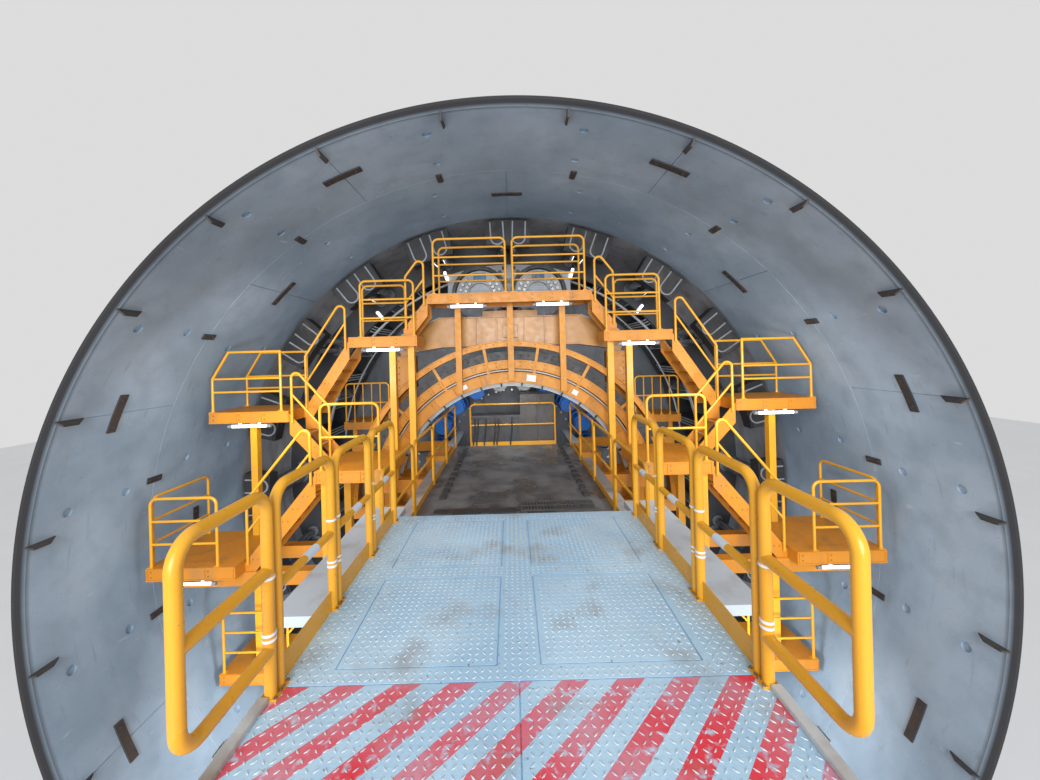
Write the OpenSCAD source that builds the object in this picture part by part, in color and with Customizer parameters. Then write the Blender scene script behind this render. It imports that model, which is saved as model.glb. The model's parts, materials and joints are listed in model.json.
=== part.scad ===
// Large slurry tunnel boring machine, in millimetres.
// The machine drives towards +Y. The shield lies on the floor, its axis at the height of its own radius.
// Heights called "rise" are measured from that axis, angles from +X, anticlockwise as seen from behind.

/* [Shield] */
// Outer radius of the shield
shield_r = 6300; // [6100:10:6600]
// Wall of the tail and centre shields
tail_wall = 100; // [60:5:130]
// Length of the rear ring of the tail shield
rear_ring_len = 1750; // [1600:10:1900]
// Length of the front ring of the tail shield
front_ring_len = 2250; // [2150:10:2400]
// Space between the thrust barrels and the bulkhead
centre_margin = 150; // [100:10:250]
// Length of the front shield
front_len = 2000; // [1800:10:2200]
// Wall of the front shield
front_wall = 120; // [80:5:150]
// How far the gangway reaches out behind the tail
rear_reach = 3850; // [3600:10:4100]
// Inner chamfer of the tail's rear edge
tail_chamfer = 60; // [30:5:80]
// Width of the seams between the tail's plates
seam_w = 12; // [8:1:20]
// Depth of those seams
seam_d = 12; // [8:1:20]
// Radius of a port in the tail's plates
port_r = 62; // [40:1:80]
// Depth of a port
port_d = 35; // [20:1:50]

/* [Cutting wheel] */
// Gap between the front shield and the cutting wheel
head_gap = 50; // [30:5:80]
// Depth of the cutting wheel, to the tips of its disc cutters
head_depth = 750; // [700:10:850]
// How much smaller the cutting wheel's radius is than the shield's
head_clear = 30; // [20:5:150]
// Thickness of the wheel's face plate
face_t = 400; // [350:10:450]
// How far the disc cutters stand out of the face
cutter_out = 50; // [40:5:70]
// Radius of a disc cutter
cutter_r = 216; // [200:1:230]
// Number of spokes
spokes = 6; // [5:1:6]
// Width of a spoke
spoke_w = 900; // [860:10:960]
// Width of the slots beside each spoke
slot_w = 400; // [360:10:420]
// Inner end of those slots
slot_in = 2050; // [2000:10:2200]
// Distance of the slots' outer ends from the wheel's rim
slot_margin = 570; // [520:10:770]
// Inner end of the single slots between the spokes
rib_slot_in = 4300; // [4200:10:4400]
// Distance of the innermost cutters of each spoke from the middle
cutter_first = 1000; // [980:5:1010]
// Distance of the outermost cutters from the wheel's rim
cutter_edge = 590; // [570:5:610]
// How far each spoke's cutters stand further out than the last spoke's
cutter_shift = 72; // [60:1:76]
// Half the width of the saddle that a cutter sits in
saddle_half = 110; // [100:1:115]

/* [Main drive] */
// Outer radius of the drive housing
drive_r = 3100; // [3000:10:3200]
// Inner radius of the drive housing's ring
drive_in = 1900; // [1880:5:1920]
// Length of the drive housing
drive_len = 1600; // [1500:10:1700]
// How far the housing reaches ahead of the bulkhead
drive_out = 400; // [300:10:450]
// Outer radius of the turning drum
drum_r = 2750; // [2700:10:2800]
// Wall of the drum
drum_wall = 400; // [300:10:450]
// Number of drive motors
motors = 20; // [18:1:20]
// Radius of the circle of motors
motor_ring_r = 2270; // [2250:5:2290]
// Radius of a motor
motor_r = 230; // [200:5:240]
// Length of a motor with its gearbox
motor_len = 1250; // [1100:10:1300]
// Thickness of the bulkhead
bulkhead_t = 80; // [60:5:100]

/* [Thrust ring] */
// Number of pairs of thrust cylinders, in four groups
pairs = 20; // [16:4:20]
// Distance of the thrust cylinders from the shield's outside
thrust_inset = 450; // [440:5:460]
// Half the angle between the two cylinders of a pair
pair_half = 1.45; // [1.4:0.01:1.6]
// Radius of a cylinder's barrel
barrel_r = 135; // [125:1:140]
// Radius of a piston rod
rod_r = 95; // [80:1:110]
// Distance of the barrels from the shoes at rest
rod_show = 1650; // [1620:10:1700]
// Length of a barrel
barrel_len = 2650; // [2500:10:2700]
// Length of rod inside its barrel at rest
rod_in_barrel = 800; // [700:10:850]
// Thickness of a shoe along the shield
shoe_t = 300; // [200:10:310]
// Radial height of a shoe
shoe_h = 580; // [500:10:590]
// Angle that one shoe covers
shoe_angle = 10; // [8:0.5:12]
// Thickness of the frame plates round the barrels
frame_t = 120; // [80:5:140]
// How far the frame plates reach inwards from the cylinders
frame_reach = 330; // [290:5:350]

/* [Man locks] */
// Radius of a man lock
lock_r = 680; // [600:5:700]
// Distance of each lock from the middle
lock_x = 800; // [790:5:820]
// Distance of the locks' middle below the thrust frames
lock_inset = 770; // [765:5:820]
// Outer radius of the cowl over a lock's console
cowl_r = 740; // [720:5:745]

/* [Bridge and floors] */
// Distance of each bridge girder from the middle
girder_x = 1650; // [1620:5:1660]
// Width of a girder
girder_w = 250; // [200:5:260]
// Rise of the girders' top
girder_top = 680; // [640:5:700]
// Drop of the girders' underside
girder_drop = 600; // [550:5:650]
// Thickness of the passage floor
floor_t = 40; // [30:1:60]
// Length of the passage floor
passage_len = 5900; // [5800:10:5950]
// Rise of the rear deck's surface
deck_rise = 1320; // [1250:5:1350]
// Width of the rear deck
deck_w = 2680; // [2600:10:2700]
// Length of the rear deck
deck_len = 3300; // [3200:10:3350]
// Thickness of the deck plate
deck_t = 40; // [30:1:60]
// Width of the cut lines round the deck's lids
lid_gap = 8; // [5:1:12]
// Radius of the gantry wheels
gantry_wheel_r = 400; // [350:5:420]
// Distance of the gantry legs from the middle
leg_x = 2600; // [2500:10:2700]
// Radius of the slurry pipes
slurry_r = 200; // [150:5:205]
// Drop of the slurry pipes' middle
slurry_drop = 230; // [225:1:260]
// Distance of each slurry pipe from the middle
slurry_x = 700; // [650:10:800]
// Radius of the hole in the drawbar
drawbar_r = 45; // [35:1:50]
// Start of the side trays behind the deck's end
tray_start = 1100; // [1000:10:1200]
// Length of the side trays
tray_len = 2300; // [2200:10:2400]

/* [Erector] */
// Inner radius of the erector's turning ring
rotor_in = 2600; // [2590:2:2620]
// Outer radius of the erector's turning ring
rotor_out = 3150; // [3100:5:3160]
// Width of the turning ring along the shield
rotor_w = 380; // [350:5:385]
// Distance of the telescopic columns from the middle
column_x = 2300; // [2280:5:2320]
// Side of the sliding column
column_w = 240; // [200:5:250]
// Rise of the erector head's underside
head_rise = 3270; // [3250:5:3300]
// Height of the erector head's housing
head_h = 650; // [600:10:660]
// Half the length of the erector head's housing
head_half = 1500; // [1450:10:1520]

/* [Arches] */
// Distance of the arches behind the shoes
arch_back = 750; // [740:5:760]
// Width of the arches along the shield
arch_t = 200; // [180:5:220]
// Inner radius of the inner arch
arch_in = 2500; // [2480:5:2510]
// Radial height of the inner arch
arch_c_h = 220; // [200:5:230]
// Radial height of the middle arch
arch_b_h = 180; // [160:5:190]
// Radial height of the outer arch
arch_a_h = 120; // [100:5:130]
// Gap between the inner and the middle arch
arch_gap = 70; // [60:5:75]
// Radial height of the energy chain
chain_h = 180; // [150:5:185]

/* [Platforms] */
// Distance of the top platform below the lining's roof
top_clear = 1890; // [1880:5:1920]
// Half the width of the top platform
top_half = 1620; // [1600:5:1640]
// Distance of the upper side platforms below the lining's roof
upper_clear = 2710; // [2690:5:2730]
// Rise of the middle platforms
mid_rise = 2170; // [2150:5:2190]
// Rise of the inner platforms
inner_rise = 1270; // [1250:5:1290]
// Drop of the lower platforms
lower_drop = 130; // [110:5:150]
// Drop of the landings below the inner platforms
landing_drop = 1000; // [980:5:1020]
// Drop of the lowest platforms
lowest_drop = 2530; // [2500:5:2550]
// Depth of the platforms' edge channels
fascia = 200; // [160:5:220]
// Thickness of the platforms' plates
plate_t = 30; // [20:1:40]
// Height of every railing
rail_h = 1100; // [1000:10:1120]
// Radius of the platforms' railing pipes
pipe_r = 22; // [18:1:25]
// Radius of the deck's railing pipes
deck_pipe_r = 30; // [25:1:32]
// Radius of the bends in the railings
rail_bend = 110; // [80:5:130]

/* [Hidden] */
$fn = 64;
fit = 0.3;
weld = 1.5;
axis_z = shield_r;
head_r = shield_r - head_clear;
slot_out = head_r - slot_margin;
thrust_ring_r = shield_r - thrust_inset;
frame_in = thrust_ring_r - frame_reach;
lining_r = shield_r - tail_wall;
centre_len = shoe_t + rod_show + barrel_len + centre_margin;
total_len = rear_reach + rear_ring_len + front_ring_len + centre_len + front_len + head_gap + head_depth;
rear_y = -total_len / 2;
tail_y = rear_y + rear_reach;
seam_y = tail_y + rear_ring_len;
shoe_y = seam_y + front_ring_len;
front_y = shoe_y + centre_len;
wheel_y = front_y + front_len + head_gap;
tip_y = wheel_y + head_depth;
face_y = tip_y - cutter_out - face_t;
bulkhead_y = front_y;
drive_y = bulkhead_y + bulkhead_t + drive_out - drive_len;
barrel_y = shoe_y + shoe_t + rod_show;
girder_y = rear_y + 200;
girder_out = girder_x + girder_w / 2;
girder_in = girder_x - girder_w / 2;
deck_end_y = rear_y + deck_len;
deck_beam = 160;
deck_beam_w = 80;
passage_rise = girder_top + floor_t;
erector_y = shoe_y - 350;
rotor_gap = 6;
rotor_y = erector_y + 14;
column_y = rotor_y + 60;
guide_low = 1560;
arch_y = shoe_y - arch_back;
frame_y = [barrel_y + 60, barrel_y + barrel_len - 60 - frame_t];
lock_y = frame_y[0];
lock_rise = frame_in - lock_inset;
top_rise = lining_r - top_clear;
upper_rise = lining_r - upper_clear;
drawbar_y = rear_y + 90;
drawbar_drop = girder_drop + 60;
portal_y = rear_y + 850;
portal_w = 300;
cutter_y = tip_y - cutter_r;
cutter_rows = 10;
cutter_step = (head_r - cutter_edge - cutter_first - (spokes - 1) * cutter_shift) / (cutter_rows - 1);
centre_cutter = 310;
drum_front_y = wheel_y - 500;

// The arches from the inside outwards, with the energy chain on the middle one.
arch_c = [arch_in, arch_in + arch_c_h];
arch_b = [arch_c[1] + arch_gap, arch_c[1] + arch_gap + arch_b_h];
chain_band = [arch_b[1] + fit, arch_b[1] + chain_h];
arch_a = [chain_band[1] + 100, chain_band[1] + 100 + arch_a_h];
arch_plate = 60;
arch_inset = 20;

// Plan of the platforms: x from the middle outwards, y along the shield.
top_y = [arch_y - 450, arch_y + 250];
upper_x = [top_half + 180, lining_r - 3080];
upper_y = [arch_y - 600, arch_y - fit];
mid_x = [lining_r - 2180, lining_r - 750];
mid_y = [arch_y - 1100, arch_y - 100];
inner_x = [girder_out + 325, lining_r - 2970];
inner_y = [arch_y - 1800, arch_y - 500];
lower_x = [lining_r - 1800, lining_r - 400];
lower_y = [arch_y - 2000, arch_y - 700];
landing_x = [girder_in - 5, girder_in + 1455];
landing_y = mid_y;
lowest_x = [lining_r - 1780, lining_r - 820];
lowest_y = mid_y;
walkway_x = [frame_in - 2120, frame_in - 820];
walkway_y = [drive_y - 1600, drive_y - 500];
walkway_rise = 1300;

// Columns and outriggers that carry them.
outrigger_top = lower_drop + fascia;
outrigger_h = 220;
column_side = 120;
rear_outrigger_y = lower_y[0] + 290;
mid_column_y = arch_y - 850;
mid_column_x = lining_r - 1420;
upper_column_x = [upper_x[0] + 160, upper_x[0] + 530];
upper_column_y = arch_y - 380;

// Carries children drawn on the shield's axis, with their z = 0 face at y + len and their top at y.
module along(y, len) {
    translate([0, y + len, axis_z]) rotate([90, 0, 0]) children();
}

module tube_y(y, len, outer, inner) {
    along(y, len) difference() {
        cylinder(h = len, r = outer);
        translate([0, 0, -1]) cylinder(h = len + 2, r = inner);
    }
}

module both_sides() {
    children();
    mirror([1, 0, 0]) children();
}

// A box from its low and high corners, with its heights as rises from the axis.
module block(x, y, rise) {
    translate([x[0], y[0], axis_z + rise[0]]) cube([x[1] - x[0], y[1] - y[0], rise[1] - rise[0]]);
}

// A straight pipe between two points.
module pipe(p, q, r) {
    v = q - p;
    len = norm(v);
    turn = atan2(v[1], v[0]);
    tip = acos(v[2] / len);
    translate(p) rotate([0, tip, turn]) cylinder(h = len, r = r);
}

// Seam grooves and ports of one tail ring, cut from the inside.
module ring_cuts(len, seam_at) {
    for (k = [0 : 7]) {
        rotate([0, 0, seam_at + 45 * k]) translate([lining_r - 5, -seam_w / 2, -1])
            cube([seam_d + 5, seam_w, len + 2]);
        for (side = [-1, 1], along_ring = [0.27, 0.73])
            rotate([0, 0, seam_at + 45 * k + 22.5 + side * 10])
                translate([lining_r + port_d, 0, len * along_ring])
                    rotate([0, -90, 0]) cylinder(h = port_d + 60, r = port_r);
    }
}

module tail_ring(y, len, seam_at, chamfer) {
    along(y, len) difference() {
        rotate_extrude() polygon([
            [lining_r, 0], [shield_r, 0], [shield_r, len],
            [lining_r + chamfer, len], [lining_r, len - chamfer - 0.1]
        ]);
        ring_cuts(len, seam_at);
    }
}

module tail_ring_rear() {
    color("lightsteelblue") tail_ring(tail_y, rear_ring_len, 22.5, tail_chamfer);
}

module tail_ring_front() {
    color("lightsteelblue") tail_ring(seam_y, front_ring_len, 0, seam_d);
}

module centre_shield() {
    color("silver") tube_y(shoe_y, centre_len, shield_r, lining_r);
}

module front_shield() {
    inner = shield_r - front_wall;
    lip = front_wall - 30;
    lip_len = 250;
    color("silver") along(front_y, front_len) rotate_extrude() polygon([
        [inner, lip_len], [inner + lip, 0], [shield_r, 0], [shield_r, front_len], [inner, front_len]
    ]);
}

module bulkhead() {
    color("dimgray") tube_y(bulkhead_y, bulkhead_t, shield_r - front_wall - fit, drive_r + fit);
}

// Angle of the pair with a given number.
function pair_angle(k) = k * 360 / pairs;
function rod_angles(k) = [pair_angle(k) - pair_half, pair_angle(k) + pair_half];

module thrust_frames() {
    rib_t = 60;
    len = frame_y[1] + frame_t - frame_y[0];
    color("sienna") {
        difference() {
            union() {
                for (y = frame_y) tube_y(y, frame_t, lining_r - fit, frame_in);
                along(frame_y[0], len)
                    for (k = [0 : pairs - 1])
                        rotate([0, 0, pair_angle(k) + 180 / pairs])
                            translate([frame_in + 60, -rib_t / 2, 0])
                                cube([lining_r - frame_in - 70, rib_t, len]);
            }
            along(frame_y[0] - 10, len + 20)
                for (k = [0 : pairs - 1], a = rod_angles(k))
                    rotate([0, 0, a]) translate([thrust_ring_r, 0, 0])
                        cylinder(h = len + 20, r = barrel_r + fit);
        }
    }
}

module thrust_barrels() {
    collar_len = 50;
    color("slategray") along(barrel_y, barrel_len)
        for (k = [0 : pairs - 1], a = rod_angles(k))
            rotate([0, 0, a]) translate([thrust_ring_r, 0, 0]) difference() {
                union() {
                    cylinder(h = barrel_len, r = barrel_r);
                    translate([0, 0, barrel_len - collar_len]) cylinder(h = collar_len, r = barrel_r + 10);
                }
                translate([0, 0, 100]) cylinder(h = barrel_len, r = rod_r + fit);
            }
}

// One quarter of the pairs: their rods and the shoes that press on the lining.
// Quarters count from the right.
module thrust_group(quarter) {
    first = quarter * pairs / 4 - floor(pairs / 8);
    color("gainsboro") for (k = [first : first + pairs / 4 - 1]) {
        along(shoe_y, shoe_t) rotate([0, 0, pair_angle(k) - shoe_angle / 2])
            rotate_extrude(angle = shoe_angle)
                translate([thrust_ring_r - shoe_h / 2, 0]) square([shoe_h, shoe_t]);
        along(shoe_y + shoe_t - 20, rod_show + rod_in_barrel + 20)
            for (a = rod_angles(k)) rotate([0, 0, a]) translate([thrust_ring_r, 0, 0])
                cylinder(h = rod_show + rod_in_barrel + 20, r = rod_r);
    }
}

module thrust_rods_right() { thrust_group(0); }
module thrust_rods_top() { thrust_group(1); }
module thrust_rods_left() { thrust_group(2); }
module thrust_rods_bottom() { thrust_group(3); }

module main_drive() {
    web = 60;
    color("slategray") {
        along(drive_y, drive_len) difference() {
            cylinder(h = drive_len, r = drive_r);
            translate([0, 0, -1]) cylinder(h = drive_len - web + 1, r = drive_in);
            translate([0, 0, -1]) cylinder(h = drive_len * 0.6, r = drum_r + fit);
        }
        along(drive_y - 350, 360) cylinder(h = 360, r = 400);
    }
}

// A gearbox, a ribbed motor and its fan cap, one behind the other.
module motor() {
    box_len = motor_len * 0.4;
    cap_len = motor_len * 0.12;
    body_len = motor_len - box_len - cap_len;
    cylinder(h = box_len, r = motor_r + 30);
    translate([0, 0, box_len]) cylinder(h = body_len, r = motor_r);
    translate([0, 0, box_len + body_len]) cylinder(h = cap_len, r = motor_r - 25);
    for (a = [0 : 45 : 315]) rotate([0, 0, a])
        translate([motor_r - 10, -15, box_len + 40]) cube([28, 30, body_len - 80]);
}

module drive_motors() {
    color("royalblue") along(drive_y - motor_len, motor_len)
        for (k = [0 : motors - 1]) rotate([0, 0, (k + 0.5) * 360 / motors])
            translate([motor_ring_r, 0, 0]) motor();
}

module man_locks() {
    len = bulkhead_y - lock_y;
    color("gray") both_sides() {
        translate([lock_x, lock_y + len, axis_z + lock_rise]) rotate([90, 0, 0]) {
            cylinder(h = len - 60, r = lock_r - 30);
            for (z = [300, len - 120]) translate([0, 0, z]) cylinder(h = 60, r = lock_r);
            translate([0, 0, len - 60]) cylinder(h = 60, r = lock_r - 60);
        }
    }
}

// A wall of panels under the shield's roof, with a cowled console for each lock.
module lock_consoles() {
    wall_t = 40;
    wall_half = 1700;
    wall_drop = 350;
    wall_r = frame_in + 60;
    console_r = lock_r - 40;
    console_t = 120;
    cowl_len = 180;
    color("lightgray") {
        intersection() {
            block([-wall_half, wall_half], [lock_y - fit - wall_t, lock_y - fit],
                [lock_rise - wall_drop, wall_r + 1]);
            along(lock_y - fit - wall_t - 1, wall_t + 2) cylinder(h = wall_t + 2, r = wall_r);
        }
        both_sides() translate([lock_x, lock_y - fit - wall_t + 1, axis_z + lock_rise]) rotate([90, 0, 0]) {
            rotate_extrude(angle = 180) translate([lock_r, 0]) square([cowl_r - lock_r, cowl_len + 1]);
            rotate_extrude(angle = 180) translate([console_r / 2, 0]) square([console_r / 2, console_t + 1]);
        }
    }
}

// Strips that tie the plates of the tail together, across their seams.
module strip_arc(y, w, at, reach) {
    along(y, w) rotate([0, 0, at - reach / 2]) rotate_extrude(angle = reach)
        translate([lining_r - fit - 22, 0]) square([22, w]);
}

module tie_plates() {
    color("saddlebrown") {
        for (k = [0 : 7]) {
            strip_arc(tail_y + rear_ring_len * 0.42, 120, 22.5 + 45 * k, 5.4);
            strip_arc(seam_y + front_ring_len * 0.4, 120, 45 * k, 5.4);
            for (side = [-1, 1]) strip_arc(seam_y - 130, 260, 22.5 + 45 * k + side * 12, 0.9);
        }
    }
}

module bridge_girders() {
    len = drive_y - fit - girder_y;
    tie_gap = (len - 600) / 5;
    color("silver") difference() {
        union() {
            both_sides()
                block([girder_in, girder_out], [girder_y, girder_y + len], [-girder_drop, girder_top]);
            for (k = [0 : 5]) translate([0, tie_gap * k, 0])
                block([-girder_in - 1, girder_in + 1], [girder_y, girder_y + 100],
                    [-girder_drop + 40, -slurry_drop - slurry_r - fit]);
            for (x = [-130, 70])
                block([x, x + 60], [rear_y + 10, girder_y + 10],
                    [-drawbar_drop - 110, -slurry_drop - slurry_r - fit + 20]);
        }
        translate([-200, drawbar_y, axis_z - drawbar_drop]) rotate([0, 90, 0])
            cylinder(h = 400, r = drawbar_r);
    }
}

module slurry_pipes() {
    y0 = rear_y + 100;
    len = drive_y - fit - y0;
    flange_t = 40;
    color("lightslategray") both_sides()
        translate([slurry_x, y0 + len, axis_z - slurry_drop]) rotate([90, 0, 0]) difference() {
            union() {
                cylinder(h = len, r = slurry_r);
                translate([0, 0, len - flange_t]) cylinder(h = flange_t, r = slurry_r + 75);
            }
            translate([0, 0, 100]) cylinder(h = len, r = slurry_r - 16);
            for (k = [0 : 11]) rotate([0, 0, 30 * k])
                translate([slurry_r + 40, 0, len - flange_t - 10]) cylinder(h = flange_t + 20, r = 12);
        }
}

module passage_floor() {
    y1 = deck_end_y + passage_len;
    joist = 120;
    color("saddlebrown") {
        block([-girder_in + fit, girder_in - fit], [deck_end_y, y1], [girder_top, passage_rise]);
        for (k = [0 : 6])
            block([-girder_in + fit, girder_in - fit],
                [deck_end_y + k * (passage_len - 100) / 6, deck_end_y + k * (passage_len - 100) / 6 + 100],
                [girder_top - joist, girder_top + 1]);
    }
}

// A railing panel in the XZ plane, from x = 0 to len: two posts, a bent top rail and mid rails.
module rail_panel(len, height, mids, r, toe) {
    top = height - r;
    translate([0, 0, 0]) {
        for (x = [0, len]) translate([x, 0, 0]) cylinder(h = top - rail_bend, r = r);
        translate([rail_bend, 0, top - rail_bend]) rotate([90, 0, 0]) rotate([0, 0, 90])
            rotate_extrude(angle = 90) translate([rail_bend, 0]) circle(r = r, $fn = 24);
        translate([len - rail_bend, 0, top - rail_bend]) rotate([90, 0, 0])
            rotate_extrude(angle = 90) translate([rail_bend, 0]) circle(r = r, $fn = 24);
        translate([rail_bend, 0, top]) rotate([0, 90, 0]) cylinder(h = len - 2 * rail_bend, r = r);
        for (k = [1 : mids]) translate([0, 0, top * k / (mids + 1)])
            rotate([0, 90, 0]) cylinder(h = len, r = r * 0.85);
        if (toe > 0) translate([0, -4, 0]) cube([len, 8, toe]);
    }
}

// The same panel set on a rise, from one plan point along an angle.
module panel_at(x, y, rise, turn, len, mids, r, toe) {
    translate([x, y, axis_z + rise]) rotate([0, 0, turn]) rail_panel(len, rail_h, mids, r, toe);
}

module passage_railings() {
    n = 4;
    y0 = deck_end_y + 60;
    len = (passage_len - 160) / n;
    x = girder_in - 40;
    color("gold") {
        both_sides() for (k = [0 : n - 1])
            panel_at(x, y0 + k * len, passage_rise, 90, len - 60, 1, pipe_r, 100);
        panel_at(-1100, deck_end_y + passage_len - 40, passage_rise, 0, 2200, 1, pipe_r, 100);
    }
}

module equipment_box() {
    y0 = deck_end_y + passage_len + fit;
    color("gray") block([200, 1100], [y0, y0 + 700], [girder_top - 100, 2030]);
    color("gray") block([-1100, 200 - fit], [y0, y0 + 500], [girder_top - 100, 1500]);
}

module rear_deck() {
    cut = 10;
    bare_len = 1090;
    lid = [920, 900];
    lid_y = [rear_y + bare_len + 110, rear_y + bare_len + lid[1] + 260];
    color("lightcyan") {
        difference() {
            block([-deck_w / 2, deck_w / 2], [rear_y, deck_end_y], [deck_rise - deck_t, deck_rise]);
            block([-lid_gap / 2, lid_gap / 2], [rear_y - 1, rear_y + bare_len],
                [deck_rise - cut, deck_rise + 1]);
            block([-deck_w, deck_w], [rear_y + bare_len, rear_y + bare_len + lid_gap],
                [deck_rise - cut, deck_rise + 1]);
            for (x = [-lid[0] - 120, 120], y = lid_y) deck_lid(x, y, lid[0], lid[1], cut);
        }
        for (x = [-deck_w / 2, -deck_beam_w / 2, deck_w / 2 - deck_beam_w])
            block([x, x + deck_beam_w], [rear_y, deck_end_y],
                [deck_rise - deck_t - deck_beam, deck_rise - deck_t + 1]);
    }
}

// The cut line round one lid of the deck.
module deck_lid(x, y, w, len, cut) {
    difference() {
        block([x, x + w], [y, y + len], [deck_rise - cut, deck_rise + 1]);
        block([x + lid_gap, x + w - lid_gap], [y + lid_gap, y + len - lid_gap],
            [deck_rise - cut - 10, deck_rise + 2]);
    }
}

module deck_trestles() {
    top = deck_rise - deck_t - deck_beam;
    bar = 120;
    color("gray") for (k = [0 : 3]) {
        y = girder_y + 100 + k * (deck_len - 500) / 3;
        block([-girder_out, girder_out], [y, y + bar], [girder_top, girder_top + bar]);
        for (x = [-deck_w / 2, -bar / 2, deck_w / 2 - bar])
            block([x, x + bar], [y, y + bar], [girder_top + bar - 1, top]);
    }
}

// The rearmost panel stands on one post and reaches out behind it as a closed loop.
module end_loop(len) {
    low = 250;
    top = rail_h - deck_pipe_r;
    r = deck_pipe_r;
    translate([0, 0, 0]) cylinder(h = top - rail_bend, r = r);
    translate([-rail_bend, 0, top - rail_bend]) rotate([90, 0, 0])
        rotate_extrude(angle = 90) translate([rail_bend, 0]) circle(r = r, $fn = 24);
    translate([-len + rail_bend, 0, top]) rotate([0, 90, 0]) cylinder(h = len - 2 * rail_bend, r = r);
    translate([-len + rail_bend, 0, top - rail_bend]) rotate([90, 0, 0]) rotate([0, 0, 90])
        rotate_extrude(angle = 90) translate([rail_bend, 0]) circle(r = r, $fn = 24);
    translate([-len, 0, low + rail_bend]) cylinder(h = top - low - 2 * rail_bend, r = r);
    translate([-len + rail_bend, 0, low + rail_bend]) rotate([90, 0, 0]) rotate([0, 0, 180])
        rotate_extrude(angle = 90) translate([rail_bend, 0]) circle(r = r, $fn = 24);
    for (z = [low, (top + low) / 2]) translate([-len + (z == low ? rail_bend : 0), 0, z])
        rotate([0, 90, 0]) cylinder(h = len - (z == low ? rail_bend : 0), r = r);
}

module deck_railings() {
    n = 3;
    first = rear_y + 1100;
    len = (deck_len - 1160) / n;
    x = deck_w / 2 - 45;
    color("orange") both_sides() {
        for (k = [0 : n - 1]) translate([x, first + k * len, axis_z + deck_rise]) rotate([0, 0, 90]) {
            rail_panel(len - 70, rail_h, 1, deck_pipe_r, 140);
            for (s = [0, len - 70]) translate([s - 30, -45, 0]) cube([60, 90, 15]);
        }
        translate([x, first - 70, axis_z + deck_rise]) rotate([0, 0, 90]) {
            end_loop(560);
            translate([-30, -45, 0]) cube([60, 90, 15]);
        }
    }
}

module side_trays() {
    tray = [girder_in + 15, girder_in + 515];
    top = deck_rise - 350;
    y = [deck_end_y - tray_start, deck_end_y - tray_start + tray_len];
    color("aliceblue") both_sides() {
        block(tray, y, [top - 90, top]);
        for (s = [y[0] + 200, y[1] - 300])
            block([girder_out - 120, girder_out], [s, s + 120], [girder_top, top - 89]);
    }
}

module rear_portal() {
    cheek = 50;
    wheel_gap = 320;
    foot = gantry_wheel_r + 550;
    color("silver") {
        block([-leg_x - portal_w / 2, leg_x + portal_w / 2],
            [portal_y - portal_w / 2, portal_y + portal_w / 2], [-girder_drop - 350, -girder_drop]);
        both_sides() difference() {
            union() {
                block([leg_x - portal_w / 2, leg_x + portal_w / 2],
                    [portal_y - portal_w / 2, portal_y + portal_w / 2], [foot - axis_z, -girder_drop - 349]);
                block([leg_x - wheel_gap / 2 - cheek, leg_x + wheel_gap / 2 + cheek],
                    [portal_y - 300, portal_y + 300], [foot - 100 - axis_z, foot - axis_z + 1]);
                for (x = [leg_x - wheel_gap / 2 - cheek, leg_x + wheel_gap / 2])
                    block([x, x + cheek], [portal_y - 150, portal_y + 150],
                        [gantry_wheel_r - 180 - axis_z, foot - 99 - axis_z]);
            }
            translate([leg_x - 300, portal_y, gantry_wheel_r]) rotate([0, 90, 0])
                cylinder(h = 600, r = 70 + fit);
        }
    }
}

module gantry_wheel(side) {
    color("dimgray") translate([side * leg_x, portal_y, gantry_wheel_r]) rotate([0, 90, 0]) {
        translate([0, 0, -140]) cylinder(h = 280, r = gantry_wheel_r);
        translate([0, 0, -225]) cylinder(h = 450, r = 70);
    }
}
module gantry_wheel_left() { gantry_wheel(-1); }
module gantry_wheel_right() { gantry_wheel(1); }

// A half ring standing on the level of the axis.
module half_ring(y, len, outer, inner) {
    difference() {
        tube_y(y, len, outer, inner);
        block([-outer - 1, outer + 1], [y - 1, y + len + 1], [-outer - 1, 0]);
    }
}

module erector_arches() {
    foot_drop = 250;
    color("gold") {
        for (band = [arch_c, arch_b, arch_a]) half_ring(arch_y, arch_t, band[1], band[0]);
        for (a = [20 : 20 : 160]) along(arch_y, arch_plate) rotate([0, 0, a])
            translate([arch_c[1] - 10, -30, 0])
                cube([arch_a[0] - arch_c[1] + 20, 60, arch_plate - arch_inset]);
        both_sides() block([girder_out + fit, arch_a[1] + 20], [arch_y, arch_y + arch_t],
            [-foot_drop, -fit]);
    }
}

module energy_chain() {
    y = arch_y + arch_plate + fit;
    len = arch_t - arch_plate - fit;
    color("dimgray") along(y, len) rotate([0, 0, 2]) rotate_extrude(angle = 176)
        translate([chain_band[0], 0]) square([chain_band[1] - chain_band[0], len]);
}

module tower_posts() {
    w = column_side;
    top = top_rise - plate_t;
    side = top_half * 0.66;
    color("gold") for (x = [-side, 0, side])
        block([x - w / 2, x + w / 2], [arch_y - w - fit, arch_y - fit],
            [sqrt(pow(arch_c[0] + 40, 2) - x * x), top]);
}

// A platform is a plate on a rim of channels with joists below.
module platform(x, y, rise) {
    wall = 16;
    difference() {
        block(x, y, [rise - fascia, rise]);
        block([x[0] + wall, x[1] - wall], [y[0] + wall, y[1] - wall], [rise - fascia - 1, rise - plate_t]);
    }
    joists = 2;
    for (k = [1 : joists]) {
        c = x[0] + (x[1] - x[0]) * k / (joists + 1);
        block([c - 20, c + 20], [y[0] + wall - 1, y[1] - wall + 1],
            [rise - fascia + 40, rise - plate_t + 1]);
    }
}

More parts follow.
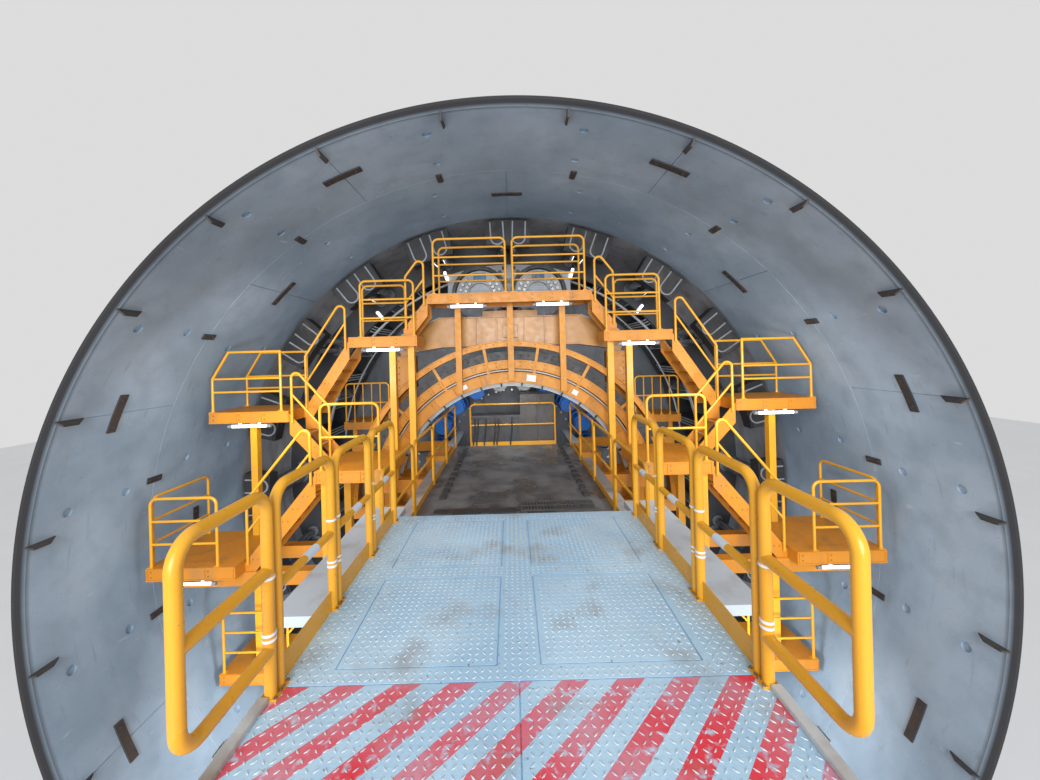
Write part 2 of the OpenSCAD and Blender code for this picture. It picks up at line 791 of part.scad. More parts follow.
module top_platform() { color("orange") platform([-top_half, top_half], top_y, top_rise); }
module upper_platforms() { color("orange") both_sides() platform(upper_x, upper_y, upper_rise); }
module mid_platforms() { color("orange") both_sides() platform(mid_x, mid_y, mid_rise); }
module inner_platforms() { color("orange") both_sides() platform(inner_x, inner_y, inner_rise); }
module lower_platforms() { color("orange") both_sides() platform(lower_x, lower_y, -lower_drop); }
module landings() {
    color("orange") both_sides() {
        platform(landing_x, landing_y, -landing_drop);
        for (y = [landing_y[0] + 100, landing_y[1] - 200])
            block([girder_in + 60, girder_in + 120], [y, y + 60], [-landing_drop - 1, -girder_drop]);
    }
}
module lowest_platforms() { color("orange") both_sides() platform(lowest_x, lowest_y, -lowest_drop); }

// Beams from the girders out to the lower platforms, and short ones under the upper columns.
module outriggers() {
    color("darkorange") both_sides() {
        for (y = [rear_outrigger_y, mid_column_y])
            block([girder_out + fit, lower_x[1] - 300], [y - 90, y + 90],
                [-outrigger_top - outrigger_h, -outrigger_top]);
        block([girder_out + fit, upper_column_x[1] + 290], [upper_column_y - 90, upper_column_y + 90],
            [girder_top - 250, girder_top]);
    }
}

module side_columns() {
    w = column_side;
    color("gold") both_sides() {
        for (x = upper_column_x)
            block([x - w / 2, x + w / 2], [upper_column_y - w / 2, upper_column_y + w / 2],
                [girder_top, upper_rise - plate_t]);
        block([mid_column_x - w / 2, mid_column_x + w / 2], [mid_column_y - w / 2, mid_column_y + w / 2],
            [-lower_drop, mid_rise - plate_t]);
        block([mid_column_x - w / 2, mid_column_x + w / 2], [mid_column_y - w / 2, mid_column_y + w / 2],
            [-lowest_drop, -outrigger_top - outrigger_h]);
        for (x = [inner_x[0] + 150, inner_x[1] - 150], y = [rear_outrigger_y, mid_column_y])
            block([x - w / 2, x + w / 2], [y - w / 2, y + w / 2], [-outrigger_top, inner_rise - plate_t]);
    }
}

module top_railings() {
    gap = 70;
    half = top_half - 130;
    color("orange") {
        for (x = [-half, gap], y = [top_y[0] + 40, top_y[1] - 40])
            panel_at(x, y, top_rise, 0, half - gap, 2, pipe_r, 0);
    }
}

module upper_railings() {
    len = upper_x[1] - upper_x[0] - 290;
    past_stair = 360;
    color("orange") both_sides() {
        panel_at(upper_x[0] + 60, upper_y[0] + 40, upper_rise, 0, len, 2, pipe_r, 0);
        panel_at(upper_x[0] + past_stair, upper_y[1] - 40, upper_rise, 0,
            len - past_stair + 210, 2, pipe_r, 0);
    }
}

// The outer corner is cut off to follow the round shield.
module bevel_panel(len, cut, drop) {
    r = pipe_r;
    top = rail_h - r;
    path = [[0, 0, 0], [0, 0, top], [len - cut, 0, top], [len, 0, top - drop], [len, 0, 0]];
    for (k = [0 : 3]) pipe(path[k], path[k + 1], r);
    for (k = [1 : 3]) translate(path[k]) sphere(r = r + weld, $fn = 24);
    for (z = [top / 3, top - drop]) translate([0, 0, z])
        rotate([0, 90, 0]) cylinder(h = len, r = r * 0.85);
}

module mid_railings() {
    color("orange") both_sides() for (y = [mid_y[0] + 40, mid_y[1] - 40])
        translate([mid_x[0] + 150, y, axis_z + mid_rise]) bevel_panel(mid_x[1] - mid_x[0] - 200, 300, 480);
}

module inner_railings() {
    color("orange") both_sides()
        panel_at(inner_x[0] + 80, inner_y[0] + 40, inner_rise, 0,
            inner_x[1] - inner_x[0] - 180, 1, pipe_r, 0);
}

// Walkways beside the main drive, on a beam from each girder.
module drive_walkways() {
    beam_y = [walkway_y[0] + 10, walkway_y[0] + 210];
    beam_rise = [girder_top - 220, girder_top];
    color("orange") both_sides() {
        platform(walkway_x, walkway_y, walkway_rise);
        block([girder_out + fit, walkway_x[1] - 200], beam_y, beam_rise);
        for (x = [walkway_x[0] + 100, walkway_x[1] - 340])
            block([x, x + 120], [beam_y[0] + 40, beam_y[0] + 160],
                [beam_rise[1] - 1, walkway_rise - plate_t + 1]);
    }
}

module walkway_railings() {
    fields = 5;
    x0 = walkway_x[0] + 50;
    len = walkway_x[1] - walkway_x[0] - 100;
    y = walkway_y[0] + 40;
    color("orange") both_sides() {
        panel_at(x0, y, walkway_rise, 0, len, 1, pipe_r, 0);
        for (k = [1 : fields - 1]) translate([x0 + len * k / fields, y, axis_z + walkway_rise])
            cylinder(h = rail_h - pipe_r - 5, r = pipe_r * 0.7);
    }
}

module lower_railings() {
    color("orange") both_sides() {
        panel_at(lower_x[0] + 300, lower_y[0] + 40, -lower_drop, 0,
            lower_x[1] - lower_x[0] - 360, 2, pipe_r, 0);
        panel_at(lower_x[1] - 40, lower_y[0] + 90, -lower_drop, 90,
            lower_y[1] - lower_y[0] - 150, 2, pipe_r, 0);
    }
}

module lowest_railings() {
    color("orange") both_sides()
        panel_at(lowest_x[0] + 60, lowest_y[0] + 40, -lowest_drop, 0,
            lowest_x[1] - lowest_x[0] - 120, 2, pipe_r, 0);
}

// A flight going down along +x from [0, 0, 0]: two stringers and treads.
module flight(run, rise, width, steps) {
    t = 16;
    foot = rise + stringer_d / 2;
    tread = 30;
    sink = 12;
    reach = run / steps * 0.6;
    for (y = [0, width - t]) translate([0, y + t, 0]) rotate([90, 0, 0]) linear_extrude(height = t)
        polygon([
            [0, 0], [run, -rise], [run, -foot], [run - stringer_d * 0.6, -foot], [0, -stringer_d * 1.3]
        ]);
    for (k = [1 : steps - 1])
        translate([run * k / steps - reach, t - 1, -rise * (k + 0.6) / steps - tread - sink])
            cube([2 * reach, width - 2 * t + 2, tread]);
}

stringer_d = 280;
flight_drop = 60;

// A flight between the facing edges of two platforms that stand at different rises.
function flight_between(from, to, y, high, low, width, steps) = [
    from + (to > from ? fit : -fit), y, high - flight_drop, low - flight_drop,
    to - from + (to > from ? -2 : 2) * fit, width, steps
];

// Each flight: start x, start y, upper rise, lower rise, run (negative towards the middle), width, steps.
flights = [
    [top_half + fit, top_y[0] + 30, top_rise - flight_drop, upper_rise + fit + stringer_d / 2,
        upper_x[0] + 300 - top_half, 410, 4],
    flight_between(upper_x[1], mid_x[0], upper_y[0] + 30, upper_rise, mid_rise, 600, 6),
    flight_between(mid_x[0], inner_x[1], mid_y[0] + 30, mid_rise, inner_rise, 560, 4),
    flight_between(inner_x[1], lower_x[0], inner_y[0] + 30, inner_rise, -lower_drop, 600, 7),
    flight_between(landing_x[1], lowest_x[0], landing_y[0] + 400, -landing_drop, -lowest_drop, 600, 7)
];

module stairs() {
    color("darkorange") both_sides() for (f = flights)
        translate([f[0], f[1], axis_z + f[2]]) mirror([f[4] < 0 ? 1 : 0, 0, 0])
            flight(abs(f[4]), f[2] - f[3], f[5], f[6]);
}

// The handrail of one flight: two posts and a sloping top rail, bent from one pipe.
// A straight mid rail runs below it.
module stair_rail(run, rise) {
    r = pipe_r;
    inset = 60;
    foot = -90;
    height = rail_h - 60;
    slope = atan2(rise, run);
    x = [inset, run - inset];
    base = [for (v = x) foot - v * tan(slope)];
    bend = rail_bend * 0.8;
    down = [bend * (1 + sin(slope)) / cos(slope), bend * (1 - sin(slope)) / cos(slope)];
    centre = [
        [x[0] + bend, 0, base[0] + height - down[0]],
        [x[1] - bend, 0, base[1] + height - down[1]]
    ];
    touch = [for (c = centre) c + bend * [sin(slope), 0, cos(slope)]];
    lap = 4 * [cos(slope), 0, -sin(slope)];
    for (k = [0, 1]) translate([x[k], 0, base[k]]) cylinder(h = height - down[k] + 4, r = r);
    translate(centre[0]) rotate([90, 0, 0]) rotate([0, 0, 90 - slope])
        rotate_extrude(angle = 90 + slope) translate([bend, 0]) circle(r = r + weld, $fn = 24);
    translate(centre[1]) rotate([90, 0, 0])
        rotate_extrude(angle = 90 - slope) translate([bend, 0]) circle(r = r + weld, $fn = 24);
    pipe(touch[0] - lap, touch[1] + lap, r);
    pipe([x[0], 0, base[0] + height * 0.5], [x[1], 0, base[1] + height * 0.5], r * 0.85);
}

module stair_railings() {
    color("orange") both_sides() for (f = flights)
        translate([f[0], f[1] - pipe_r - fit, axis_z + f[2]]) mirror([f[4] < 0 ? 1 : 0, 0, 0])
            stair_rail(abs(f[4]), f[2] - f[3]);
}

// Each lamp: middle x, the rim's edge along the shield and the rise of the rim it hangs from.
lamp_rows = [
    [top_half * 0.52, top_y[0], top_rise - fascia],
    [(upper_x[0] + upper_x[1]) / 2, upper_y[0], upper_rise - fascia],
    [(mid_x[0] + mid_x[1]) / 2, mid_y[0], mid_rise - fascia],
    [(lower_x[0] + lower_x[1]) / 2, lower_y[0], -lower_drop - fascia]
];

module tube_lamps() {
    len = 700;
    r = 24;
    drop = 60;
    hanger = 30;
    color("white") both_sides() for (p = lamp_rows) translate([p[0], p[1] + r, axis_z + p[2]]) {
        translate([-len / 2, 0, -drop]) rotate([0, 90, 0]) cylinder(h = len, r = r);
        for (x = [-len / 4, len / 4])
            translate([x - hanger / 2, -hanger / 2, -drop]) cube([hanger, hanger, drop - fit]);
    }
}

// A slot with round ends, from one radius to another.
module slot_2d(from, to, w) {
    translate([from + w / 2, -w / 2]) square([to - from - w, w]);
    for (x = [from + w / 2, to - w / 2]) translate([x, 0]) circle(d = w);
}

slot_off = spoke_w / 2 + slot_w / 2;
face_pitch = 360 / spokes;

module face_slots() {
    for (k = [0 : spokes - 1]) rotate([0, 0, k * face_pitch]) {
        for (side = [-1, 1]) translate([0, side * slot_off]) slot_2d(slot_in, slot_out, slot_w);
        rotate([0, 0, face_pitch / 2]) slot_2d(rib_slot_in, slot_out, slot_w);
    }
}

// The cutters of each spoke run on tracks between those of the spoke before it. Six more fill the middle.
module cutter_places() {
    for (k = [0 : spokes - 1], i = [0 : cutter_rows - 1]) rotate([0, 0, k * face_pitch])
        translate([cutter_first + i * cutter_step + k * cutter_shift, 0, 0]) children();
    for (a = [0, 120, 240], x = [centre_cutter, 2 * centre_cutter])
        rotate([0, 0, a + face_pitch / 2]) translate([x, 0, 0]) children();
}

module cutting_wheel() {
    rim = 330;
    saddle_gap = 34;
    depth = head_depth - cutter_out;
    color("lightgray") difference() {
        along(wheel_y, depth) rotate_extrude() polygon([
            [0, 0], [head_r - 250, 0], [head_r, 180], [head_r, depth], [head_r - rim, depth],
            [head_r - rim, face_t], [0, face_t]
        ]);
        along(wheel_y - 10, depth + 20) linear_extrude(height = depth + 20) face_slots();
        along(face_y - 10, face_t + 20) cutter_places()
            translate([-saddle_half, -cutter_r - saddle_gap, 0])
                cube([2 * saddle_half, 2 * (cutter_r + saddle_gap), face_t + 20]);
    }
}

module disc_cutters() {
    color("dimgray") along(cutter_y, 0) cutter_places() rotate([0, 90, 0]) rotate_extrude() polygon([
        [0, fit - saddle_half], [120, fit - saddle_half], [120, -45], [cutter_r - 30, -35], [cutter_r, -8],
        [cutter_r, 8], [cutter_r - 30, 35], [120, 45], [120, saddle_half - fit], [0, saddle_half - fit]
    ]);
}

module wheel_knives() {
    pitch = 260;
    n = floor((slot_out - slot_in - slot_w) / pitch);
    color("goldenrod") along(face_y + face_t, cutter_out - 5)
        for (k = [0 : spokes - 1], side = [-1, 1]) rotate([0, 0, k * face_pitch])
            translate([slot_in + slot_w / 2, side * (spoke_w / 2 - 45) - 40, 0])
                for (i = [0 : n - 1]) translate([i * pitch, 0, 0])
                    cube([pitch - 60, 80, cutter_out - 5 - fit]);
}

module wheel_legs() {
    leg_in = drum_r - drum_wall;
    reach = 4700;
    t = 320;
    drop = face_y - fit - drum_front_y;
    color("lightgray") {
        along(drum_front_y, drop) for (k = [0 : spokes - 1]) rotate([0, 0, k * face_pitch])
            translate([0, t / 2, 0]) rotate([90, 0, 0]) linear_extrude(height = t)
                polygon([[leg_in, drop], [drum_r + 200, drop], [reach, 150], [reach, 0], [leg_in, 0]]);
    }
}

module drive_drum() {
    y0 = drive_y + drive_len - drive_len * 0.6 + 10;
    len = drum_front_y - fit - y0;
    color("silver") {
        tube_y(y0, len, drum_r, drum_r - drum_wall);
        along(drum_front_y - fit - 80, 80) cylinder(h = 80, r = drum_r + 200);
    }
}

// The carriage slides on the girders. The rotor turns on its sleeve, which seats against its ring.
module erector_carriage() {
    ring_w = 300;
    y = rotor_y + rotor_w + rotor_gap;
    shoe_len = 1000;
    turn_drive_len = 420;
    color("gold") {
        tube_y(y, ring_w, rotor_out, rotor_in - 40);
        tube_y(y - rotor_w, rotor_w - fit, rotor_in - fit, rotor_in - 40);
        for (a = [35, 145, 215, 325]) along(y + ring_w - 1, turn_drive_len) rotate([0, 0, a])
            translate([(rotor_in + rotor_out) / 2, 0, 0]) {
                cylinder(h = turn_drive_len, r = 130);
                translate([0, 0, turn_drive_len * 0.6]) cylinder(h = turn_drive_len * 0.4, r = 170);
            }
        both_sides() {
            block([girder_out + fit, rotor_in + 100], [y, y + ring_w], [-350, 450]);
            block([girder_out + fit, girder_out + 220], [y, y + shoe_len],
                [-girder_drop - 120, girder_top + 120]);
            for (band = [[girder_top + fit, girder_top + 120], [-girder_drop - 120, -girder_drop - fit]])
                block([girder_in + 20, girder_out + 10], [y, y + shoe_len], band);
        }
    }
}

module erector_rotor() {
    guide_w = column_w + 120;
    high = head_rise - 170;
    color("gold") difference() {
        union() {
            tube_y(rotor_y, rotor_w, rotor_out, rotor_in);
            both_sides() block([column_x - guide_w / 2, column_x + guide_w / 2],
                [rotor_y, rotor_y + guide_w], [guide_low, high]);
            block([-700, 700], [rotor_y, rotor_y + rotor_w], [-rotor_out - 150, -rotor_out + 80]);
        }
        both_sides() block([column_x - column_w / 2 - fit, column_x + column_w / 2 + fit],
            [column_y - fit, column_y + column_w + fit], [guide_low + 60, high + 1]);
    }
}

module erector_head() {
    front = erector_y + 400;
    color("darkorange") {
        translate([0, front, axis_z]) rotate([90, 0, 0]) linear_extrude(height = 400)
            polygon([
                [-head_half, head_rise + head_h], [-column_x - column_w / 2, head_rise + head_h * 0.4],
                [-column_x - column_w / 2, head_rise - 100], [-column_x + column_w / 2, head_rise - 100],
                [-head_half, head_rise], [head_half, head_rise],
                [column_x - column_w / 2, head_rise - 100], [column_x + column_w / 2, head_rise - 100],
                [column_x + column_w / 2, head_rise + head_h * 0.4], [head_half, head_rise + head_h]
            ]);
        both_sides() block([column_x - column_w / 2, column_x + column_w / 2],
            [column_y, column_y + column_w], [guide_low + 100, head_rise - 99]);
        block([-600, 600], [erector_y + 50, erector_y + 350],
            [head_rise + head_h - 1, head_rise + head_h + 130]);
    }
}

tail_ring_rear();
tail_ring_front();
centre_shield();
front_shield();
bulkhead();
thrust_frames();
thrust_barrels();
main_drive();
drive_motors();
man_locks();
lock_consoles();
tie_plates();
bridge_girders();
slurry_pipes();
passage_floor();
passage_railings();
equipment_box();
rear_deck();
deck_trestles();
deck_railings();
side_trays();
rear_portal();
erector_arches();
energy_chain();
tower_posts();
side_columns();
outriggers();
top_platform();
top_railings();
upper_platforms();
upper_railings();
mid_platforms();
mid_railings();
inner_platforms();
inner_railings();
drive_walkways();
walkway_railings();
lower_platforms();
lower_railings();
landings();
lowest_platforms();
lowest_railings();
stairs();
stair_railings();
tube_lamps();
cutting_wheel();
wheel_legs();
wheel_knives();
disc_cutters();
drive_drum();
erector_carriage();
erector_rotor();
erector_head();
thrust_rods_top();
thrust_rods_right();
thrust_rods_bottom();
thrust_rods_left();
gantry_wheel_left();
gantry_wheel_right();
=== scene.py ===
# %% [markdown]
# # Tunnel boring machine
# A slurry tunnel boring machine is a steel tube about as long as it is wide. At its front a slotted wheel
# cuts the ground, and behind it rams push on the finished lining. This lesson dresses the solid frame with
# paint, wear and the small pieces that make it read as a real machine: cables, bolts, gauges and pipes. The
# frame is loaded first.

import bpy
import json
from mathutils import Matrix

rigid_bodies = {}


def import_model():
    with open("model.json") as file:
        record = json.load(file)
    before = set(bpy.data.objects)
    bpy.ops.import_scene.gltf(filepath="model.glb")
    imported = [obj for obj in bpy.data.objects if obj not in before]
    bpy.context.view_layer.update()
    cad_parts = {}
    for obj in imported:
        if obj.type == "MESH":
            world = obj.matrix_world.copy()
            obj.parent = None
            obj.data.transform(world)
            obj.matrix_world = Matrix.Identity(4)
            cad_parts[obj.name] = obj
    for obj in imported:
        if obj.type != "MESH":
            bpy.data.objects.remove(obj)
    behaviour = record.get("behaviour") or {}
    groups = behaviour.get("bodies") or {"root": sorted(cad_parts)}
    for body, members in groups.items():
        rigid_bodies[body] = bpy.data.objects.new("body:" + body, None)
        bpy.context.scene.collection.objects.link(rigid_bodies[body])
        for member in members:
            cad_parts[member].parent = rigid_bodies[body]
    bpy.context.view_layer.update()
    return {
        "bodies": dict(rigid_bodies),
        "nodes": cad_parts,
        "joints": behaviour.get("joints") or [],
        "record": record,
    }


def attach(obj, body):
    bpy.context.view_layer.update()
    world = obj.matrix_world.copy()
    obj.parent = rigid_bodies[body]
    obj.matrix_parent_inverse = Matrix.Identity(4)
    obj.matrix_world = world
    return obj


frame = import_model()

# %% Modules and the sizes that everything is placed by
import json
import math

import bmesh
import bpy
from mathutils import Matrix, Vector

AXIS = 6.3
LINING_R = 6.2
REAR_Y = -7.7
TAIL_Y = -3.85
SEAM_Y = -2.1
SHOE_Y = 0.15
DECK_Z = 7.62
nodes = frame["nodes"]

# %% [markdown]
# ## The camera
# The camera stands 1.75 m above the rear deck, a metre behind its end, and looks level along the machine's
# axis. A short lens, 13.5 mm on a 36 mm sensor, gives the wide view. The photograph's uprights stay
# parallel and its vanishing point sits a little above the middle, so the lens is shifted instead of
# pitched. The photograph is rolled by a degree or two, and so is the camera.

# %% Camera
CAMERA_AT = Vector((0.0, -8.7, 9.37))
LENS_MM = 13.5
ROLL = 1.5

camera_data = bpy.data.cameras.new("camera")
camera_data.lens = LENS_MM
camera_data.sensor_width = 36
camera_data.shift_x = 0.0087
camera_data.shift_y = -0.0337
camera_data.clip_start = 0.05
camera = bpy.data.objects.new("camera", camera_data)
bpy.context.collection.objects.link(camera)
turn = Matrix.Rotation(math.radians(90), 4, "X") @ Matrix.Rotation(math.radians(-ROLL), 4, "Z")
camera.matrix_world = Matrix.Translation(CAMERA_AT) @ turn
bpy.context.scene.camera = camera
print("camera at", tuple(CAMERA_AT), "lens", LENS_MM)

# %% [markdown]
# ## Studio light and floor
# The machine stands in a plain studio: a pale floor, an even sky and one broad soft lamp behind the camera
# that shines into the tube. A tube is dark at its far end, so small soft lamps hang among the machine's own
# tube lamps. They are all kept plain white, so that a paint shows the colour it was given.

# %% Floor and world
FLOOR_SIDE = 120.0

def smooth_ramp(tree, value, low, high, to_low=0.0, to_high=1.0):
    ramp = tree.nodes.new("ShaderNodeMapRange")
    ramp.inputs["From Min"].default_value = low
    ramp.inputs["From Max"].default_value = high
    ramp.inputs["To Min"].default_value = to_low
    ramp.inputs["To Max"].default_value = to_high
    tree.links.new(value, ramp.inputs["Value"])
    return ramp.outputs["Result"]

def new_finish(name):
    material = bpy.data.materials.new(name)
    material.use_nodes = True
    tree = material.node_tree
    tree.nodes.clear()
    output = tree.nodes.new("ShaderNodeOutputMaterial")
    shader = tree.nodes.new("ShaderNodeBsdfPrincipled")
    tree.links.new(shader.outputs["BSDF"], output.inputs["Surface"])
    return material, tree, shader

def cloud(tree, size, detail=4.0, stretch=(1, 1, 1), shift=0.0):
    # A soft noise over the piece's own coordinates, with patches of about this size in metres.
    place = tree.nodes.new("ShaderNodeTexCoord")
    mapping = tree.nodes.new("ShaderNodeMapping")
    mapping.inputs["Scale"].default_value = stretch
    mapping.inputs["Location"].default_value = (shift, shift, shift)
    noise = tree.nodes.new("ShaderNodeTexNoise")
    noise.inputs["Scale"].default_value = 1.0 / size
    noise.inputs["Detail"].default_value = detail
    tree.links.new(place.outputs["Object"], mapping.inputs["Vector"])
    tree.links.new(mapping.outputs["Vector"], noise.inputs["Vector"])
    return noise.outputs["Fac"]

def own_axes(tree):
    # The X, Y and Z of a point in the piece's own coordinates.
    place = tree.nodes.new("ShaderNodeTexCoord")
    split = tree.nodes.new("ShaderNodeSeparateXYZ")
    tree.links.new(place.outputs["Object"], split.inputs["Vector"])
    return split.outputs

def blend_colours(tree, factor, first, second):
    mix = tree.nodes.new("ShaderNodeMix")
    mix.data_type = "RGBA"
    tree.links.new(factor, mix.inputs[0])
    for socket, colour in ((mix.inputs[6], first), (mix.inputs[7], second)):
        if isinstance(colour, tuple):
            socket.default_value = (*colour, 1.0)
        else:
            tree.links.new(colour, socket)
    return mix.outputs[2]

def calculate(tree, operation, first, second=None):
    step = tree.nodes.new("ShaderNodeMath")
    step.operation = operation
    for socket, value in zip(step.inputs, (first, second)):
        if value is None:
            continue
        if isinstance(value, (int, float)):
            socket.default_value = value
        else:
            tree.links.new(value, socket)
    return step.outputs["Value"]

def raise_surface(tree, shader, height, distance, strength=1.0):
    bump = tree.nodes.new("ShaderNodeBump")
    bump.inputs["Distance"].default_value = distance
    bump.inputs["Strength"].default_value = strength
    tree.links.new(height, bump.inputs["Height"])
    tree.links.new(bump.outputs["Normal"], shader.inputs["Normal"])

world = bpy.data.worlds.new("studio sky")
world.use_nodes = True
sky = world.node_tree.nodes["Background"]
sky.inputs["Color"].default_value = (1.0, 1.0, 1.0, 1.0)
sky.inputs["Strength"].default_value = 0.72
bpy.context.scene.world = world
bpy.context.scene.view_settings.view_transform = "Standard"

floor_mesh = bpy.data.meshes.new("studio_floor")
floor_bm = bmesh.new()
bmesh.ops.create_grid(floor_bm, x_segments=1, y_segments=1, size=FLOOR_SIDE / 2)
floor_bm.to_mesh(floor_mesh)
floor_bm.free()
studio_floor = bpy.data.objects.new("studio_floor", floor_mesh)
bpy.context.collection.objects.link(studio_floor)
floor_finish, floor_tree, floor_shader = new_finish("studio floor")
floor_shade = smooth_ramp(floor_tree, cloud(floor_tree, 3.0), 0.2, 0.8)
floor_tree.links.new(blend_colours(floor_tree, floor_shade, (0.74, 0.75, 0.77), (0.79, 0.80, 0.81)),
                     floor_shader.inputs["Base Color"])
floor_shader.inputs["Roughness"].default_value = 0.75
floor_mesh.materials.append(floor_finish)
print("floor", FLOOR_SIDE, "m wide")

# %% Lamps
def soft_lamp(name, at, towards, side, power):
    data = bpy.data.lights.new(name, "AREA")
    data.shape = "DISK"
    data.size = side
    data.energy = power
    lamp = bpy.data.objects.new(name, data)
    lamp.matrix_world = (Matrix.Translation(at)
                         @ (Vector(towards) - Vector(at)).to_track_quat("-Z", "Y").to_matrix().to_4x4())
    lamp.visible_camera = False
    bpy.context.collection.objects.link(lamp)
    return lamp

soft_lamp("lamp_behind", (0.0, -24.0, 12.0), (0.0, -2.0, 7.5), 12.0, 4200.0)
for side in (-1, 1):
    soft_lamp("lamp_tail", (side * 3.6, -3.6, 8.9), (side * 3.4, 2.0, 6.5), 0.7, 46.0)
    soft_lamp("lamp_ring", (side * 2.2, 0.9, 9.6), (side * 3.0, 3.5, 8.0), 0.6, 30.0)
    soft_lamp("lamp_low", (side * 3.4, -3.0, 4.6), (side * 3.0, 0.0, 2.5), 0.7, 90.0)
soft_lamp("lamp_passage", (0.0, 0.5, 8.9), (0.0, 2.0, 7.0), 0.5, 18.0)
print("lamps", len(bpy.data.lights))

# %% [markdown]
# ## Painted steel
# Every platform, railing and stair on this machine is steel under a coat of amber paint, and the shield is
# steel under dirty grey. A coat is built from four layers: the colour with slow shifts, grime in long runs
# downwards, small chips down to dark metal, and a faint orange-peel bump. One function makes them all, so
# each coat is only a few numbers, and real differences such as mud on a floor are added to it.

# %% Coats of paint
def coat(name, colour, second, grime, grime_share=0.5, chips=0.5, rough=(0.35, 0.6),
         run=(1, 1, 0.35), size=1.3, metal=0.0):
    material, tree, shader = new_finish(name)
    tone = smooth_ramp(tree, cloud(tree, size, 5.0), 0.35, 0.65)
    shade = blend_colours(tree, tone, colour, second)
    dirt = smooth_ramp(tree, cloud(tree, 0.28, 7.0, run, 3.1), 0.62 - 0.16 * grime_share, 0.80)
    dirt = calculate(tree, "MULTIPLY", dirt, grime_share)
    shade = blend_colours(tree, dirt, shade, grime)
    fleck = smooth_ramp(tree, cloud(tree, 0.022, 3.0, shift=7.7), 0.74 - 0.05 * chips, 0.77 - 0.05 * chips)
    patch = smooth_ramp(tree, cloud(tree, 0.5, 2.0, shift=1.9), 0.5, 0.62)
    fleck = calculate(tree, "MULTIPLY", fleck, patch)
    shade = blend_colours(tree, fleck, shade, (0.10, 0.075, 0.06))
    tree.links.new(shade, shader.inputs["Base Color"])
    shader.inputs["Metallic"].default_value = metal
    gloss = smooth_ramp(tree, cloud(tree, 0.09, 5.0, shift=5.3), 0.3, 0.7, rough[0], rough[1])
    tree.links.new(gloss, shader.inputs["Roughness"])
    skin = calculate(tree, "SUBTRACT", cloud(tree, 0.006, 2.0), calculate(tree, "MULTIPLY", fleck, 1.5))
    raise_surface(tree, shader, skin, 0.0012, 0.35)
    return material

AMBER = (0.72, 0.335, 0.018)
AMBER_DEEP = (0.60, 0.225, 0.014)
# Each row: name, two colours, colour of the grime, its share, chips, and where they differ rough, run, size.
COATS = {
    "railing_amber": ("railing amber", AMBER, (0.78, 0.38, 0.022), (0.40, 0.22, 0.08), 0.35, 0.4,
                      (0.24, 0.42)),
    "platform_amber": ("platform amber", AMBER_DEEP, (0.66, 0.255, 0.016), (0.26, 0.15, 0.07), 0.6, 0.6),
    "arch_amber": ("arch amber", (0.63, 0.262, 0.014), (0.56, 0.220, 0.012), (0.20, 0.13, 0.08), 0.5, 0.6),
    "erector_orange": ("erector orange", (0.50, 0.245, 0.050), (0.44, 0.205, 0.040), (0.30, 0.15, 0.05), 0.3,
                       0.3, (0.26, 0.40), (1, 1, 1), 2.6),
    # Near-black coat. On the cowls and box covers it is dark paint. On the thrust frames, deep between the
    # platforms and the lining, it is partly painted shade.
    "dark_paint_and_shade": ("dark frame paint", (0.030, 0.034, 0.042), (0.055, 0.060, 0.070), (0.05, 0.036, 0.028),
                   0.8, 0.6, (0.35, 0.6)),
    "tie_dark": ("dark tie plates", (0.040, 0.038, 0.040), (0.070, 0.056, 0.050), (0.10, 0.055, 0.035), 0.6,
                 0.8, (0.5, 0.8)),
    "machine_grey": ("machine grey", (0.105, 0.120, 0.140), (0.15, 0.165, 0.185), (0.045, 0.042, 0.040), 0.7,
                     0.6),
    "console_grey": ("console grey", (0.52, 0.55, 0.58), (0.44, 0.47, 0.50), (0.18, 0.16, 0.14), 0.5, 0.4),
    "girder_white": ("girder white", (0.50, 0.54, 0.585), (0.43, 0.47, 0.51), (0.24, 0.20, 0.15), 0.8, 0.7),
    "pipe_grey": ("pipe grey", (0.30, 0.34, 0.38), (0.36, 0.40, 0.44), (0.16, 0.12, 0.08), 0.8, 0.6),
    "tray_white": ("tray white", (0.62, 0.70, 0.78), (0.54, 0.60, 0.66), (0.28, 0.23, 0.17), 0.6, 0.6),
    "shield_grey": ("shield grey", (0.34, 0.37, 0.41), (0.27, 0.30, 0.34), (0.15, 0.12, 0.10), 0.9, 0.8,
                    (0.45, 0.7), (1, 1, 0.35), 2.4),
    "wheel_paint": ("wheel paint", (0.60, 0.63, 0.66), (0.50, 0.52, 0.55), (0.22, 0.17, 0.12), 0.8, 0.9,
                    (0.4, 0.65), (1, 1, 0.5), 1.8),
    "knife_amber": ("knife amber", (0.62, 0.34, 0.05), (0.50, 0.26, 0.04), (0.16, 0.12, 0.09), 0.9, 1.2),
    "gantry_dark": ("portal wheel steel", (0.10, 0.105, 0.11), (0.15, 0.15, 0.155), (0.20, 0.15, 0.10), 0.8,
                    0.9),
    "chain_black": ("chain black", (0.035, 0.036, 0.04), (0.06, 0.06, 0.065), (0.12, 0.10, 0.08), 0.6, 0.0,
                    (0.45, 0.65)),
    "amber_bolt": ("amber bolt", (0.42, 0.19, 0.02), (0.30, 0.14, 0.02), (0.10, 0.07, 0.05), 0.5, 0.0,
                   (0.5, 0.7)),
    "motor_box_grey": ("box grey", (0.085, 0.080, 0.078), (0.060, 0.058, 0.056), (0.035, 0.030, 0.026), 0.8,
                       0.6),
}
finishes = {key: coat(*numbers) for key, numbers in COATS.items()}
print(len(finishes), "coats of paint")
